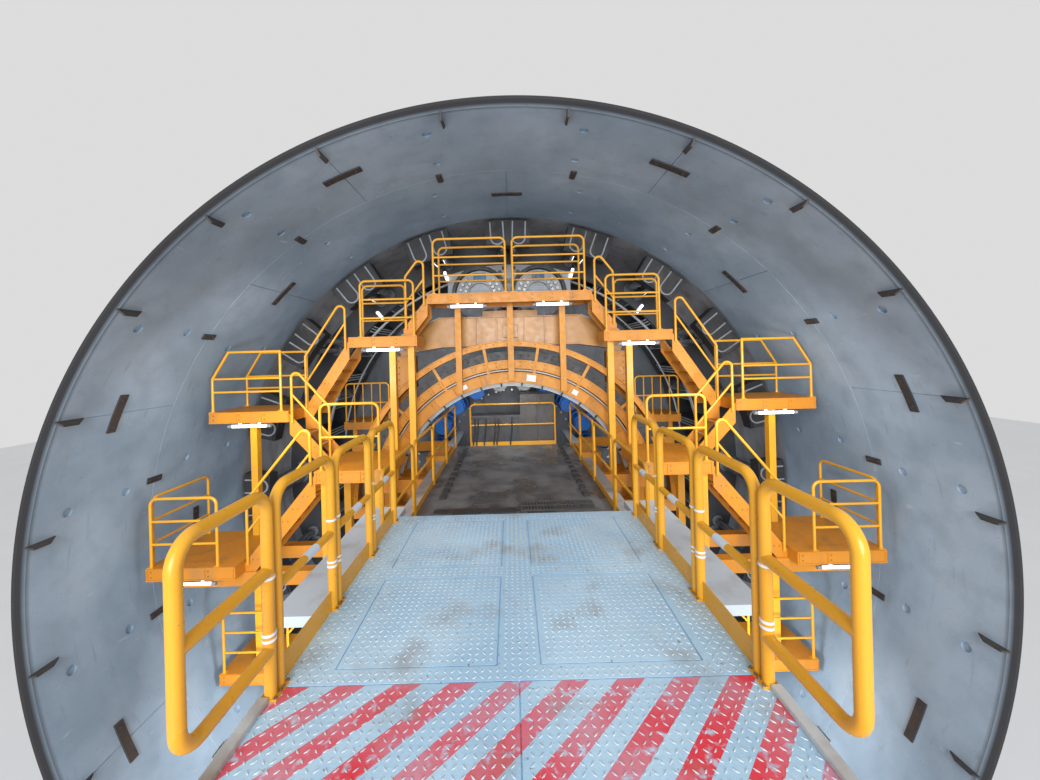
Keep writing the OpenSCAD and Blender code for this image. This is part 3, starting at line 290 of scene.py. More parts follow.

# %% [markdown]
# ## The stained lining
# The inside of the tail is the largest surface in the picture. It is pale blue-grey, with cloudy patches a
# metre wide, dark specks, pale scrapes and long drips. A plain coat would look flat here, so this finish
# mixes two noises of different size and lays the drips over them. A narrow band along the rear edge is
# darkened with painted shade and made dull.

# %% Lining
def lining_finish():
    material, tree, shader = new_finish("stained lining")
    patches = smooth_ramp(tree, cloud(tree, 1.7, 6.0), 0.36, 0.64)
    shade = blend_colours(tree, patches, (0.260, 0.362, 0.470), (0.390, 0.510, 0.635))
    mottle = smooth_ramp(tree, cloud(tree, 0.35, 8.0, shift=2.2), 0.46, 0.74, 0.0, 0.40)
    shade = blend_colours(tree, mottle, shade, (0.185, 0.260, 0.340))
    drips = smooth_ramp(tree, cloud(tree, 0.16, 5.0, (1.0, 1.6, 0.16), 4.4), 0.62, 0.76, 0.0, 0.28)
    shade = blend_colours(tree, drips, shade, (0.12, 0.14, 0.16))
    scrapes = smooth_ramp(tree, cloud(tree, 0.09, 4.0, (1.0, 0.22, 1.0), 8.1), 0.69, 0.76, 0.0, 0.6)
    shade = blend_colours(tree, scrapes, shade, (0.56, 0.60, 0.64))
    specks = smooth_ramp(tree, cloud(tree, 0.035, 3.0, shift=6.0), 0.73, 0.77, 0.0, 0.8)
    shade = blend_colours(tree, specks, shade, (0.06, 0.055, 0.05))
    # Painted shade: towards the tail's rear edge the lining darkens to near black over its last 11 cm, and it
    # is made dull there.
    edge = smooth_ramp(tree, own_axes(tree)["Y"], TAIL_Y + 0.030, TAIL_Y + 0.110, 0.97, 0.0)
    shade = blend_colours(tree, edge, shade, (0.022, 0.019, 0.019))
    tree.links.new(shade, shader.inputs["Base Color"])
    gloss = smooth_ramp(tree, cloud(tree, 0.4, 5.0, shift=1.0), 0.3, 0.7, 0.32, 0.58)
    gloss = calculate(tree, "MAXIMUM", gloss, edge)
    tree.links.new(gloss, shader.inputs["Roughness"])
    raise_surface(tree, shader, cloud(tree, 0.05, 8.0), 0.006, 0.35)
    return material

finishes["lining"] = lining_finish()
print("lining finish ready")

# %% [markdown]
# ## The worn deck
# The deck is chequered plate under thin pale-blue paint. Boots have rubbed it in patches and left brown
# marks. Its last metre carries hazard stripes at 45 degrees. They belong to the plate, so they are painted
# into its finish from the piece's own coordinates: a distance measured across the stripes, folded into one
# stripe pair.

# %% Deck
STRIPE_WIDTH = 0.106
STRIPE_END_Y = REAR_Y + 1.09

def deck_finish():
    material, tree, shader = new_finish("worn deck")
    axes = own_axes(tree)
    x, y = axes["X"], axes["Y"]
    tone = smooth_ramp(tree, cloud(tree, 0.6, 7.0), 0.38, 0.62)
    shade = blend_colours(tree, tone, (0.40, 0.62, 0.82), (0.52, 0.74, 0.92))
    beyond = calculate(tree, "SUBTRACT", y, STRIPE_END_Y)
    across = calculate(tree, "MULTIPLY", calculate(tree, "SUBTRACT", x, beyond), math.sqrt(0.5))
    pairs = calculate(tree, "DIVIDE", across, 2 * STRIPE_WIDTH)
    turns = calculate(tree, "FRACT", calculate(tree, "ADD", pairs, 0.25))
    red = calculate(tree, "LESS_THAN", turns, 0.5)
    red = calculate(tree, "MULTIPLY", red, calculate(tree, "LESS_THAN", y, STRIPE_END_Y))
    rubbed = smooth_ramp(tree, cloud(tree, 0.06, 6.0, shift=9.0), 0.30, 0.44)
    faded = smooth_ramp(tree, cloud(tree, 0.5, 3.0, shift=4.0), 0.30, 0.62, 0.55, 1.0)
    red = calculate(tree, "MULTIPLY", calculate(tree, "MULTIPLY", red, rubbed), faded)
    shade = blend_colours(tree, red, shade, (0.78, 0.045, 0.075))
    mud = smooth_ramp(tree, cloud(tree, 0.42, 9.0, shift=5.0), 0.56, 0.72, 0.0, 0.6)
    shade = blend_colours(tree, mud, shade, (0.30, 0.27, 0.25))
    specks = smooth_ramp(tree, cloud(tree, 0.028, 4.0, shift=2.0), 0.68, 0.72, 0.0, 0.7)
    shade = blend_colours(tree, specks, shade, (0.20, 0.16, 0.13))
    tree.links.new(shade, shader.inputs["Base Color"])
    gloss = smooth_ramp(tree, cloud(tree, 0.12, 5.0), 0.3, 0.7, 0.38, 0.66)
    tree.links.new(gloss, shader.inputs["Roughness"])
    raise_surface(tree, shader, cloud(tree, 0.02, 6.0), 0.003, 0.4)
    return material

finishes["deck"] = deck_finish()
print("stripes", STRIPE_WIDTH, "m wide up to y =", round(STRIPE_END_Y, 2))

# %% [markdown]
# ## Mud, motors, bare metal and lamps
# The passage floor is grey-brown with drying mud and wet patches, which are darker and smoother. The drive
# motors are blue, apart from the two at the top of the ring, which are grey: one finish tells them apart by
# where they are. Rods are chromed, and the cutters are bare worn steel. The tube lamps glow.

# %% Special finishes
def mud_finish():
    material, tree, shader = new_finish("muddy floor")
    tone = smooth_ramp(tree, cloud(tree, 0.45, 8.0), 0.36, 0.64)
    shade = blend_colours(tree, tone, (0.105, 0.112, 0.122), (0.200, 0.208, 0.218))
    wet = smooth_ramp(tree, cloud(tree, 0.7, 4.0, shift=6.5), 0.50, 0.58)
    shade = blend_colours(tree, calculate(tree, "MULTIPLY", wet, 0.6), shade, (0.055, 0.050, 0.048))
    tree.links.new(shade, shader.inputs["Base Color"])
    tree.links.new(smooth_ramp(tree, wet, 0.0, 1.0, 0.8, 0.22), shader.inputs["Roughness"])
    raise_surface(tree, shader, cloud(tree, 0.03, 7.0), 0.008, 0.5)
    return material

def motor_finish():
    material, tree, shader = new_finish("motor paint")
    axes = own_axes(tree)
    near_middle = calculate(tree, "LESS_THAN", calculate(tree, "ABSOLUTE", axes["X"]), 0.68)
    on_top = calculate(tree, "GREATER_THAN", axes["Z"], AXIS)
    grey = calculate(tree, "MULTIPLY", near_middle, on_top)
    shade = blend_colours(tree, grey, (0.012, 0.17, 0.60), (0.42, 0.45, 0.46))
    dirt = smooth_ramp(tree, cloud(tree, 0.2, 6.0, (1, 1, 0.5)), 0.5, 0.75, 0.0, 0.6)
    shade = blend_colours(tree, dirt, shade, (0.06, 0.06, 0.065))
    tree.links.new(shade, shader.inputs["Base Color"])
    tree.links.new(smooth_ramp(tree, cloud(tree, 0.05), 0.3, 0.7, 0.32, 0.55), shader.inputs["Roughness"])
    raise_surface(tree, shader, cloud(tree, 0.006), 0.001, 0.4)
    return material

def rod_finish():
    # The rods are chromed, and the shoes in front of them are dark painted blocks.
    material, tree, shader = new_finish("chromed rods and dark shoes")
    on_rod = calculate(tree, "GREATER_THAN", own_axes(tree)["Y"], SHOE_Y + 0.3005)
    grime = smooth_ramp(tree, cloud(tree, 0.3, 6.0), 0.42, 0.68, 0.0, 0.8)
    steel = blend_colours(tree, grime, (0.62, 0.63, 0.65), (0.30, 0.26, 0.22))
    paint = blend_colours(tree, grime, (0.026, 0.029, 0.036), (0.050, 0.046, 0.044))
    tree.links.new(blend_colours(tree, on_rod, paint, steel), shader.inputs["Base Color"])
    tree.links.new(on_rod, shader.inputs["Metallic"])
    tree.links.new(smooth_ramp(tree, on_rod, 0.0, 1.0, 0.6, 0.2), shader.inputs["Roughness"])
    raise_surface(tree, shader, cloud(tree, 0.03, 6.0), 0.0015, 0.4)
    return material

def bare_metal(name, colour, stain, rough, size):
    material, tree, shader = new_finish(name)
    tone = smooth_ramp(tree, cloud(tree, size, 7.0), 0.42, 0.68, 0.0, 0.85)
    tree.links.new(blend_colours(tree, tone, colour, stain), shader.inputs["Base Color"])
    shader.inputs["Metallic"].default_value = 1.0
    tree.links.new(smooth_ramp(tree, tone, 0.0, 1.0, rough[0], rough[1]), shader.inputs["Roughness"])
    raise_surface(tree, shader, cloud(tree, size * 0.2, 6.0), 0.0015, 0.4)
    return material

def glow_finish():
    material, tree, shader = new_finish("lamp glow")
    tone = smooth_ramp(tree, cloud(tree, 0.3), 0.3, 0.7)
    tree.links.new(blend_colours(tree, tone, (0.93, 0.95, 1.0), (0.98, 0.98, 1.0)),
                   shader.inputs["Base Color"])
    shader.inputs["Roughness"].default_value = 0.3
    shader.inputs["Emission Color"].default_value = (0.92, 0.96, 1.0, 1.0)
    shader.inputs["Emission Strength"].default_value = 5.0
    return material

finishes["mud"] = mud_finish()
finishes["motor"] = motor_finish()
finishes["chrome_rod"] = rod_finish()
finishes["cutter_steel"] = bare_metal("worn cutter steel", (0.36, 0.35, 0.34), (0.16, 0.11, 0.08), (0.3, 0.6),
                                      0.12)
finishes["bolt_steel"] = bare_metal("bolt steel", (0.42, 0.42, 0.42), (0.20, 0.15, 0.11), (0.3, 0.55), 0.05)
finishes["glow"] = glow_finish()
print(len(finishes), "finishes in all")

# %% Give each solid of the frame its finish
NODES_BY_FINISH = {
    "lining": "tail_ring_rear tail_ring_front",
    "shield_grey": "centre_shield front_shield",
    "machine_grey": "bulkhead thrust_barrels main_drive man_locks drive_drum",
    # The thrust frames' near-black coat is partly painted shade of the recess under the shield.
    "dark_paint_and_shade": "thrust_frames",
    "motor": "drive_motors",
    "console_grey": "lock_consoles",
    "tie_dark": "tie_plates",
    "girder_white": "bridge_girders deck_trestles rear_portal",
    "pipe_grey": "slurry_pipes",
    "mud": "passage_floor",
    "railing_amber": "passage_railings deck_railings side_columns top_railings upper_railings mid_railings "
                     "inner_railings walkway_railings lower_railings lowest_railings stair_railings",
    "motor_box_grey": "equipment_box",
    "deck": "rear_deck",
    "tray_white": "side_trays",
    "arch_amber": "erector_arches tower_posts erector_carriage erector_rotor",
    "chain_black": "energy_chain",
    "platform_amber": "outriggers top_platform upper_platforms mid_platforms inner_platforms drive_walkways "
                      "lower_platforms landings lowest_platforms stairs",
    "glow": "tube_lamps",
    "wheel_paint": "cutting_wheel wheel_legs",
    "knife_amber": "wheel_knives",
    "cutter_steel": "disc_cutters",
    "erector_orange": "erector_head",
    "chrome_rod": "thrust_rods_top thrust_rods_right thrust_rods_bottom thrust_rods_left",
    "gantry_dark": "gantry_wheel_left gantry_wheel_right",
}
node_finish = {name: finish for finish, names in NODES_BY_FINISH.items() for name in names.split()}
for node_name, solid in nodes.items():
    solid.material_slots[0].material = finishes[node_finish[node_name]]
print(len(nodes), "nodes painted")

# %% [markdown]
# ## Blocks, rods and plates for the small pieces
# Most small fittings on a machine like this are flat plates, round bars and bolts. Three helpers put them
# into one mesh from Blender's own cube and cone operators: a block between two corners, a rod between two
# points, and a bolt. Four more soften edges, turn points about the machine's axis and find a place or a
# direction round it. The last helper turns the mesh into a finished piece that rides with its body.

# %% Helpers for small pieces
SHARP = 1.2

def block(bm, low, high):
    low, high = Vector(low), Vector(high)
    middle, size = (low + high) / 2, high - low
    place = Matrix.Translation(middle) @ Matrix.Diagonal((*size, 1.0))
    return bmesh.ops.create_cube(bm, size=1.0, matrix=place)["verts"]

def rod(bm, start, end, radius, sides=12, end_radius=None):
    start, end = Vector(start), Vector(end)
    turn_to = (end - start).to_track_quat("Z", "Y").to_matrix().to_4x4()
    place = Matrix.Translation((start + end) / 2) @ turn_to
    return bmesh.ops.create_cone(bm, cap_ends=True, segments=sides, radius1=radius, matrix=place,
                                 radius2=radius if end_radius is None else end_radius,
                                 depth=(end - start).length)["verts"]

def bolt(bm, at, outward, size=0.018):
    at, outward = Vector(at), Vector(outward).normalized()
    rod(bm, at, at + outward * size * 0.35, size * 1.25, 12)
    rod(bm, at + outward * size * 0.35, at + outward * size * 1.1, size * 0.85, 6)

def soften(bm, offset, segments=2, sharp_only=False):
    # Bevels all edges, or only those where the faces turn by more than SHARP radians.
    edges = [edge for edge in bm.edges if edge.calc_face_angle(0) > SHARP] if sharp_only else bm.edges[:]
    bmesh.ops.bevel(bm, geom=edges, offset=offset, affect="EDGES", segments=segments, profile=0.5,
                    material=-1)

def turned_about_axis(verts, bm, degrees):
    turn_it = Matrix.Rotation(math.radians(degrees), 3, "Y")
    bmesh.ops.rotate(bm, verts=verts, cent=(0, 0, AXIS), matrix=turn_it)

def at_angle(radius, degrees, y):
    # A point on a circle round the machine's axis: 0 degrees is to the right, 90 straight up.
    angle = math.radians(degrees)
    return Vector((radius * math.cos(angle), y, AXIS + radius * math.sin(angle)))

def outward_at(degrees):
    angle = math.radians(degrees)
    return Vector((math.cos(angle), 0.0, math.sin(angle)))

def finish_piece(bm, name, finish, body="shield", smooth=False):
    mesh = bpy.data.meshes.new(name)
    bmesh.ops.recalc_face_normals(bm, faces=bm.faces)
    bm.to_mesh(mesh)
    bm.free()
    if smooth:
        mesh.shade_smooth()
    mesh.materials.append(finishes[finish])
    piece = bpy.data.objects.new(name, mesh)
    bpy.context.collection.objects.link(piece)
    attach(piece, body)
    triangles = sum(len(face.vertices) - 2 for face in mesh.polygons)
    print(name, triangles, "triangles")
    return piece

# %% [markdown]
# ## Tread of the deck
# Chequered plate has small raised lozenges that lie left and right in turn. From the camera they are the
# grain of the whole foreground, so they are real: one tapered lozenge is made from a four-sided cone, and
# is set down a few thousand times. Where the deck is cut for its lids, none is set. Boots polish their
# tops, so they get a paler finish than the plate.

# %% Lozenges on the deck
TREAD_PITCH = 0.042
DECK_HALF = 1.34
DECK_END_Y = REAR_Y + 3.3
LID_STARTS = (REAR_Y + 1.2, REAR_Y + 2.25)
finishes["tread"] = coat("polished tread", (0.62, 0.70, 0.76), (0.50, 0.56, 0.62), (0.32, 0.27, 0.23), 0.7,
                         1.0, (0.3, 0.5), (1, 1, 1), 0.5)

def on_a_cut(x, y):
    # True beside the joint in the middle, the cross joint and the edges of the four lids.
    near = 0.022
    if (abs(x) < near and y < REAR_Y + 1.1) or abs(y - REAR_Y - 1.094) < near:
        return True
    for lid_x in (-1.04, 0.12):
        for lid_y in LID_STARTS:
            inside = lid_x - near < x < lid_x + 0.92 + near and lid_y - near < y < lid_y + 0.9 + near
            well_inside = lid_x + near < x < lid_x + 0.92 - near and lid_y + near < y < lid_y + 0.9 - near
            if inside and not well_inside:
                return True
    return False

def lozenge(bm, x, y, degrees):
    place = (Matrix.Translation((x, y, DECK_Z + 0.001)) @ Matrix.Rotation(math.radians(degrees), 4, "Z")
             @ Matrix.Diagonal((1.0, 0.30, 1.0, 1.0)))
    bmesh.ops.create_cone(bm, cap_ends=True, segments=4, radius1=0.017, radius2=0.010, depth=0.004,
                          matrix=place)

tread_bm = bmesh.new()
columns = int(2 * (DECK_HALF - 0.03) / TREAD_PITCH)
rows = int((DECK_END_Y - REAR_Y - 0.05) / TREAD_PITCH)
for row in range(rows):
    for column in range(columns):
        x = -DECK_HALF + 0.045 + column * TREAD_PITCH
        y = REAR_Y + 0.03 + row * TREAD_PITCH
        if not on_a_cut(x, y):
            lozenge(tread_bm, x, y, 45 if (row + column) % 2 else -45)
finish_piece(tread_bm, "deck_tread", "tread")

# %% Kerbs, base-plate bolts, straps and blank tags of the deck
finishes["kerb"] = coat("stained kerb", (0.56, 0.60, 0.62), (0.44, 0.44, 0.43), (0.22, 0.15, 0.10), 1.0, 1.0)
finishes["strap"] = coat("white strap", (0.80, 0.82, 0.84), (0.72, 0.73, 0.75), (0.4, 0.36, 0.3), 0.3, 0.0)
finishes["tag"] = coat("blank tag", (0.55, 0.68, 0.82), (0.66, 0.76, 0.86), (0.4, 0.4, 0.4), 0.3, 0.0)

kerb_bm = bmesh.new()
for side in (-1, 1):
    inner, outer = sorted((side * (DECK_HALF - 0.055), side * DECK_HALF))
    block(kerb_bm, (inner, REAR_Y + 0.005, DECK_Z + 0.0005), (outer, REAR_Y + 1.0, DECK_Z + 0.032))
soften(kerb_bm, 0.006)
finish_piece(kerb_bm, "deck_kerbs", "kerb")

RAIL_X = DECK_HALF - 0.045
FIRST_POST_Y = REAR_Y + 1.1
PANEL_STEP = (3.3 - 1.16) / 3
post_rows = [FIRST_POST_Y - 0.07]
for k in range(3):
    post_rows += [FIRST_POST_Y + k * PANEL_STEP, FIRST_POST_Y + (k + 1) * PANEL_STEP - 0.07]
bolts_bm, strap_bm, tag_bm = bmesh.new(), bmesh.new(), bmesh.new()
for side in (-1, 1):
    for row, y in enumerate(post_rows):
        for offset in (-0.022, 0.022):
            bolt(bolts_bm, (side * RAIL_X - side * 0.037, y + offset, DECK_Z + 0.015), (0, 0, 1), 0.008)
        if row in (0, 2, 3, 5):
            for height in (0.30, 0.33, 0.62):
                foot = Vector((side * RAIL_X, y, DECK_Z + height))
                rod(strap_bm, foot, foot + Vector((0, 0, 0.014)), 0.0345, 16)
    for k in range(3):
        middle = FIRST_POST_Y + (k + 0.5) * PANEL_STEP
        rod(tag_bm, (side * RAIL_X, middle - 0.07, DECK_Z + 0.535),
            (side * RAIL_X, middle + 0.07, DECK_Z + 0.535), 0.0268, 20)
finish_piece(bolts_bm, "deck_bolts", "bolt_steel")
finish_piece(strap_bm, "post_straps", "strap")
finish_piece(tag_bm, "rail_tags", "tag")

# %% [markdown]
# ## Bolts and guides of the tail
# Dark tie plates hold the lining's plates together across their seams. Each has a bolt at both ends. Thin
# dark guides stand round the tail's rear edge, like the ribs of a basket, and steer what comes in. They are
# one guide, copied round the axis.

# %% Tail bolts and edge guides
PLATE_ROWS = ((TAIL_Y + 1.75 * 0.42 + 0.06, 22.5), (SEAM_Y + 2.25 * 0.4 + 0.06, 0.0))
tail_bolts_bm = bmesh.new()
for y, first in PLATE_ROWS:
    for k in range(8):
        for side in (-1.9, 1.9):
            angle = first + 45 * k + side
            bolt(tail_bolts_bm, at_angle(LINING_R - 0.0225, angle, y), -outward_at(angle), 0.022)
for k in range(8):
    for side in (-12, 12):
        for y in (SEAM_Y - 0.09, SEAM_Y + 0.09):
            angle = 22.5 + 45 * k + side
            bolt(tail_bolts_bm, at_angle(LINING_R - 0.0225, angle, y), -outward_at(angle), 0.018)
finish_piece(tail_bolts_bm, "tail_bolts", "tie_dark")

guide_bm = bmesh.new()
for k in range(24):
    guide = block(guide_bm, (LINING_R - 0.13, TAIL_Y + 0.02, AXIS - 0.011),
                  (LINING_R - 0.004, TAIL_Y + 0.36, AXIS + 0.011))
    for vertex in guide:
        if vertex.co.x < LINING_R - 0.1 and vertex.co.y > TAIL_Y + 0.2:
            vertex.co.y -= 0.16
    turned_about_axis(guide, guide_bm, -(7.5 + 15 * k))
finish_piece(guide_bm, "edge_guides", "tie_dark")

# %% [markdown]
# ## Bars bent round the machine's axis
# Arches, cables and ring pipes all follow circles round the same axis. A profile that is drawn once, as a
# small face, can be spun along such a circle. Blender's spin keeps the first face and the last one as caps,
# so the bar comes out closed.

# %% A bar bent round the axis
def spin_face(bm, verts, centre, degrees, steps, merge=False):
    # Sweeps the face of these vertices round a line that runs along the machine.
    faces = list({face for vertex in verts for face in vertex.link_faces})
    edges = list({edge for face in faces for edge in face.edges})
    bmesh.ops.spin(bm, geom=verts + edges + faces, cent=centre, axis=(0, 1, 0), steps=steps,
                   angle=math.radians(degrees), use_merge=merge)

def bent_bar(bm, radius, y, size, first, last, steps, sides=4):
    # size is (radial, along the machine) for a flat bar, and the same number twice for a round one.
    place = Matrix.Translation((radius, y, AXIS)) @ Matrix.Diagonal((size[0], size[1], 1.0, 1.0))
    if sides == 4:
        verts = bmesh.ops.create_grid(bm, x_segments=1, y_segments=1, size=0.5, matrix=place)["verts"]
    else:
        verts = bmesh.ops.create_circle(bm, cap_ends=True, segments=sides, radius=0.5, matrix=place)["verts"]
    turned_about_axis(verts, bm, -first)
    spin_face(bm, verts, (0, 0, AXIS), first - last, steps)

def block_at(bm, radius, degrees, y, size):
    # A block whose middle sits on a circle; its size is (radial, round the circle, along the machine).
    half = Vector((size[0], size[2], size[1])) / 2
    middle = Vector((radius, y, AXIS))
    verts = block(bm, middle - half, middle + half)
    turned_about_axis(verts, bm, -degrees)
    return verts

# %% [markdown]
# ## Flanges, clamps and cables of the arches
# The yellow arches are rolled channels: thin flanges stand along both edges of their flat backs. Pale
# cables run round the innermost arch, held by dark clamps, and short ladders for hands and feet cross it. A
# flat bar spun along each edge gives the flange; the clamps and rungs are blocks set down round the circle.

# %% Arch flanges, bolts and ladders
ARCH_Y = -0.6
ARCH_BANDS = ((2.5, 2.72), (2.79, 2.97), (3.25, 3.37))
flange_bm, ladder_bm, arch_bolt_bm = bmesh.new(), bmesh.new(), bmesh.new()
for low, high in ARCH_BANDS:
    for radius in (low + 0.009, high - 0.009):
        bent_bar(flange_bm, radius, ARCH_Y - 0.0125, (0.018, 0.026), 0.4, 179.6, 96)
for k in range(35):
    degrees = 5 + 5 * k
    block_at(flange_bm, 2.88, degrees, ARCH_Y - 0.010, (0.15, 0.012, 0.022))
    for radius in (3.31, 2.84, 2.92):
        bolt(arch_bolt_bm, at_angle(radius, degrees + 1.2, ARCH_Y + 0.001), (0, -1, 0), 0.012)
for degrees in (34, 52, 64, 77, 103, 116, 128, 146):
    for side in (-1.1, 1.1):
        block_at(ladder_bm, 2.61, degrees + side, ARCH_Y - 0.014, (0.18, 0.010, 0.024))
    for rung in range(5):
        block_at(ladder_bm, 2.535 + 0.037 * rung, degrees, ARCH_Y - 0.016, (0.010, 0.10, 0.010))
finish_piece(flange_bm, "arch_flanges", "arch_amber")
finish_piece(ladder_bm, "arch_ladders", "arch_amber")
finish_piece(arch_bolt_bm, "arch_bolts", "amber_bolt")

# %% Cables, clamps and blank plates on the arches
finishes["pale_cable"] = coat("pale cable", (0.60, 0.62, 0.62), (0.50, 0.51, 0.50), (0.3, 0.26, 0.2), 0.5,
                              0.0, (0.35, 0.5))
finishes["black_rubber"] = coat("black rubber", (0.022, 0.022, 0.024), (0.04, 0.04, 0.042), (0.2, 0.18, 0.15),
                                0.3, 0.0, (0.5, 0.7))
finishes["blank_plate"] = coat("blank plate", (0.78, 0.80, 0.80), (0.70, 0.72, 0.72), (0.4, 0.36, 0.3), 0.25,
                               0.0, (0.25, 0.4))
cable_bm, clamp_bm, plate_bm = bmesh.new(), bmesh.new(), bmesh.new()
for k, radius in enumerate((2.484, 2.458, 2.432)):
    bent_bar(cable_bm, radius, ARCH_Y + 0.05 + 0.012 * k, (0.022, 0.022), 8 + 2 * k, 172 - 2 * k, 96, 10)
bent_bar(cable_bm, 2.755, ARCH_Y + 0.045, (0.03, 0.03), 12, 168, 96, 10)
for k in range(16):
    block_at(clamp_bm, 2.468, 15 + 10 * k, ARCH_Y + 0.06, (0.085, 0.030, 0.09))
for degrees, size in ((81, (0.13, 0.19)), (60, (0.10, 0.12)), (112, (0.09, 0.12))):
    block_at(plate_bm, 2.61, degrees, ARCH_Y - 0.029, (size[0], size[1], 0.006))
finish_piece(cable_bm, "arch_cables", "pale_cable", smooth=True)
finish_piece(clamp_bm, "arch_clamps", "black_rubber")
finish_piece(plate_bm, "arch_plates", "blank_plate")

# %% [markdown]
# ## Links of the energy chain
# Hoses to the turning erector lie in a black chain of side plates, each overlapping the next and pinned to
# it. The solid gives the band; on it come two rows of plates in turn, one a little proud of the other, and
# a pin in each.

# %% Chain links
link_bm, pin_bm = bmesh.new(), bmesh.new()
CHAIN_BACK = ARCH_Y + 0.0603
for k in range(58):
    degrees = 3.5 + 3 * k
    block_at(link_bm, 3.06, degrees, CHAIN_BACK - (0.006 if k % 2 else 0.011), (0.165, 0.168, 0.010))
    rod(pin_bm, at_angle(3.06, degrees + 1.5, CHAIN_BACK - 0.004),
        at_angle(3.06, degrees + 1.5, CHAIN_BACK - 0.026), 0.026, 12)
    for radius in (2.992, 3.128):
        block_at(link_bm, radius, degrees, CHAIN_BACK - 0.017, (0.018, 0.11, 0.008))
finish_piece(link_bm, "chain_links", "chain_black")
finish_piece(pin_bm, "chain_pins", "black_rubber")

# %% [markdown]
# ## Platforms seen from below
# Each platform is a plate on a rim of channels. Small flanges run along the channels' edges, and gussets
# stand between them. From the gangway one looks up at the undersides, where bars like an upturned T run
# across. One table of the platforms' corners serves for all of it.

# %% Rim flanges, gussets and cross bars
PLATFORMS = {  # x from the middle outwards, y along the machine, rise of the surface
    "top": ((-1.62, 1.62), (-1.05, -0.35), 4.31), "upper": ((1.8, 3.12), (-1.2, -0.6), 3.49),
    "mid": ((4.02, 5.45), (-1.7, -0.7), 2.17), "inner": ((2.1, 3.23), (-2.4, -1.1), 1.27),
    "lower": ((4.4, 5.8), (-2.6, -1.3), -0.13), "landing": ((1.52, 2.98), (-1.7, -0.7), -1.0),
    "lowest": ((4.42, 5.38), (-1.7, -0.7), -2.53), "walkway": ((3.4, 4.7), (2.18, 3.28), 1.3),
}
FASCIA = 0.2
rim_bm, under_bm, rim_bolt_bm = bmesh.new(), bmesh.new(), bmesh.new()
for name, (xs, ys, rise) in PLATFORMS.items():
    top = AXIS + rise
    for side in ((1,) if name == "top" else (-1, 1)):
        low_x, high_x = sorted((side * xs[0], side * xs[1]))
        for edge, out in ((ys[0], -1), (ys[1], 1)):
            near, far = sorted((edge, edge + out * 0.010))
            for z in (top - 0.024, top - FASCIA):
                block(rim_bm, (low_x, near, z), (high_x, far, z + 0.018))
            count = max(2, round((high_x - low_x) / 0.42))
            for k in range(count + 1):
                x = low_x + 0.03 + (high_x - low_x - 0.06) * k / count
                block(rim_bm, (x - 0.006, near, top - FASCIA + 0.017), (x + 0.006, far, top - 0.023))
                if k < count:
                    for z in (top - 0.06, top - 0.14):
                        bolt(rim_bolt_bm, (x + 0.05, edge, z), (0, out, 0), 0.010)
        for k in range(1, 4):
            y = ys[0] + (ys[1] - ys[0]) * k / 4
            for half, low, high in ((0.005, 0.09, 0.0301), (0.025, 0.098, 0.088)):
                block(under_bm, (low_x + 0.017, y - half, top - low), (high_x - 0.017, y + half, top - high))
finish_piece(rim_bm, "platform_rims", "platform_amber")
finish_piece(under_bm, "platform_cross_bars", "platform_amber")
finish_piece(rim_bolt_bm, "platform_bolts", "amber_bolt")

# %% [markdown]
# ## Stairs
# The flights between the platforms have folded treads with a bright nosing and a row of bolts along each
# stringer. The places of the treads follow from the same rule as in the solids: equal steps, each set back
# a little.

# %% Nosings and stringer bolts
STRINGER_D, FLIGHT_DROP, FIT = 0.28, 0.06, 0.0003

def between(start, end, y, high, low, width, steps):
    run = abs(end - start) - 2 * FIT
    return (start + math.copysign(FIT, end - start), y, high - FLIGHT_DROP, low - FLIGHT_DROP, run,
            math.copysign(1, end - start), width, steps)

FLIGHTS = (
    (1.62 + FIT, -1.02, 4.31 - FLIGHT_DROP, 3.49 + FIT + STRINGER_D / 2, 0.48, 1, 0.41, 4),
    between(3.12, 4.02, -1.17, 3.49, 2.17, 0.6, 6), between(4.02, 3.23, -1.67, 2.17, 1.27, 0.56, 4),
    between(3.23, 4.4, -2.37, 1.27, -0.13, 0.6, 7), between(2.98, 4.42, -1.3, -1.0, -2.53, 0.6, 7),
)
nosing_bm, stair_bolt_bm, grip_bm = bmesh.new(), bmesh.new(), bmesh.new()
for start, y, high, low, run, way, width, steps in FLIGHTS:
    rise, reach = high - low, run / steps * 0.6
    for side in (-1, 1):
        for k in range(1, steps):
            nose = start + way * (run * k / steps + reach)
            back = start + way * (run * k / steps - reach)
            z = AXIS + high - rise * (k + 0.6) / steps - 0.012
            xs = sorted((side * nose, side * (nose - way * 0.03)))
            block(nosing_bm, (xs[0], y + 0.0165, z + 0.0003), (xs[1], y + width - 0.0165, z + 0.006))
            for bar in range(1, 7):
                x = side * (nose - way * (0.03 + (abs(nose - back) - 0.04) * bar / 7))
                block(grip_bm, (x - 0.003, y + 0.017, z + 0.0003), (x + 0.003, y + width - 0.017, z + 0.005))
            for along_tread in (0.3, 0.7):
                x = side * (nose + (back - nose) * along_tread)
                for across, out in ((0, -1), (width, 1)):
                    bolt(stair_bolt_bm, (x, y + across, z - 0.018), (0, out, 0), 0.009)
finishes["nosing"] = coat("worn nosing", (0.60, 0.56, 0.48), (0.50, 0.42, 0.30), (0.24, 0.17, 0.1), 0.6, 1.0,
                          (0.3, 0.5), (1, 1, 1), 0.6)
finish_piece(nosing_bm, "stair_nosings", "nosing")
finish_piece(grip_bm, "stair_grips", "platform_amber")
finish_piece(stair_bolt_bm, "stair_bolts", "amber_bolt")

# %% [markdown]
# ## Railings
# Every railing post stands in a short collar on a small base plate with two bolts. A small table gives the
# posts' places, and the platforms' table gives the height that they stand on.

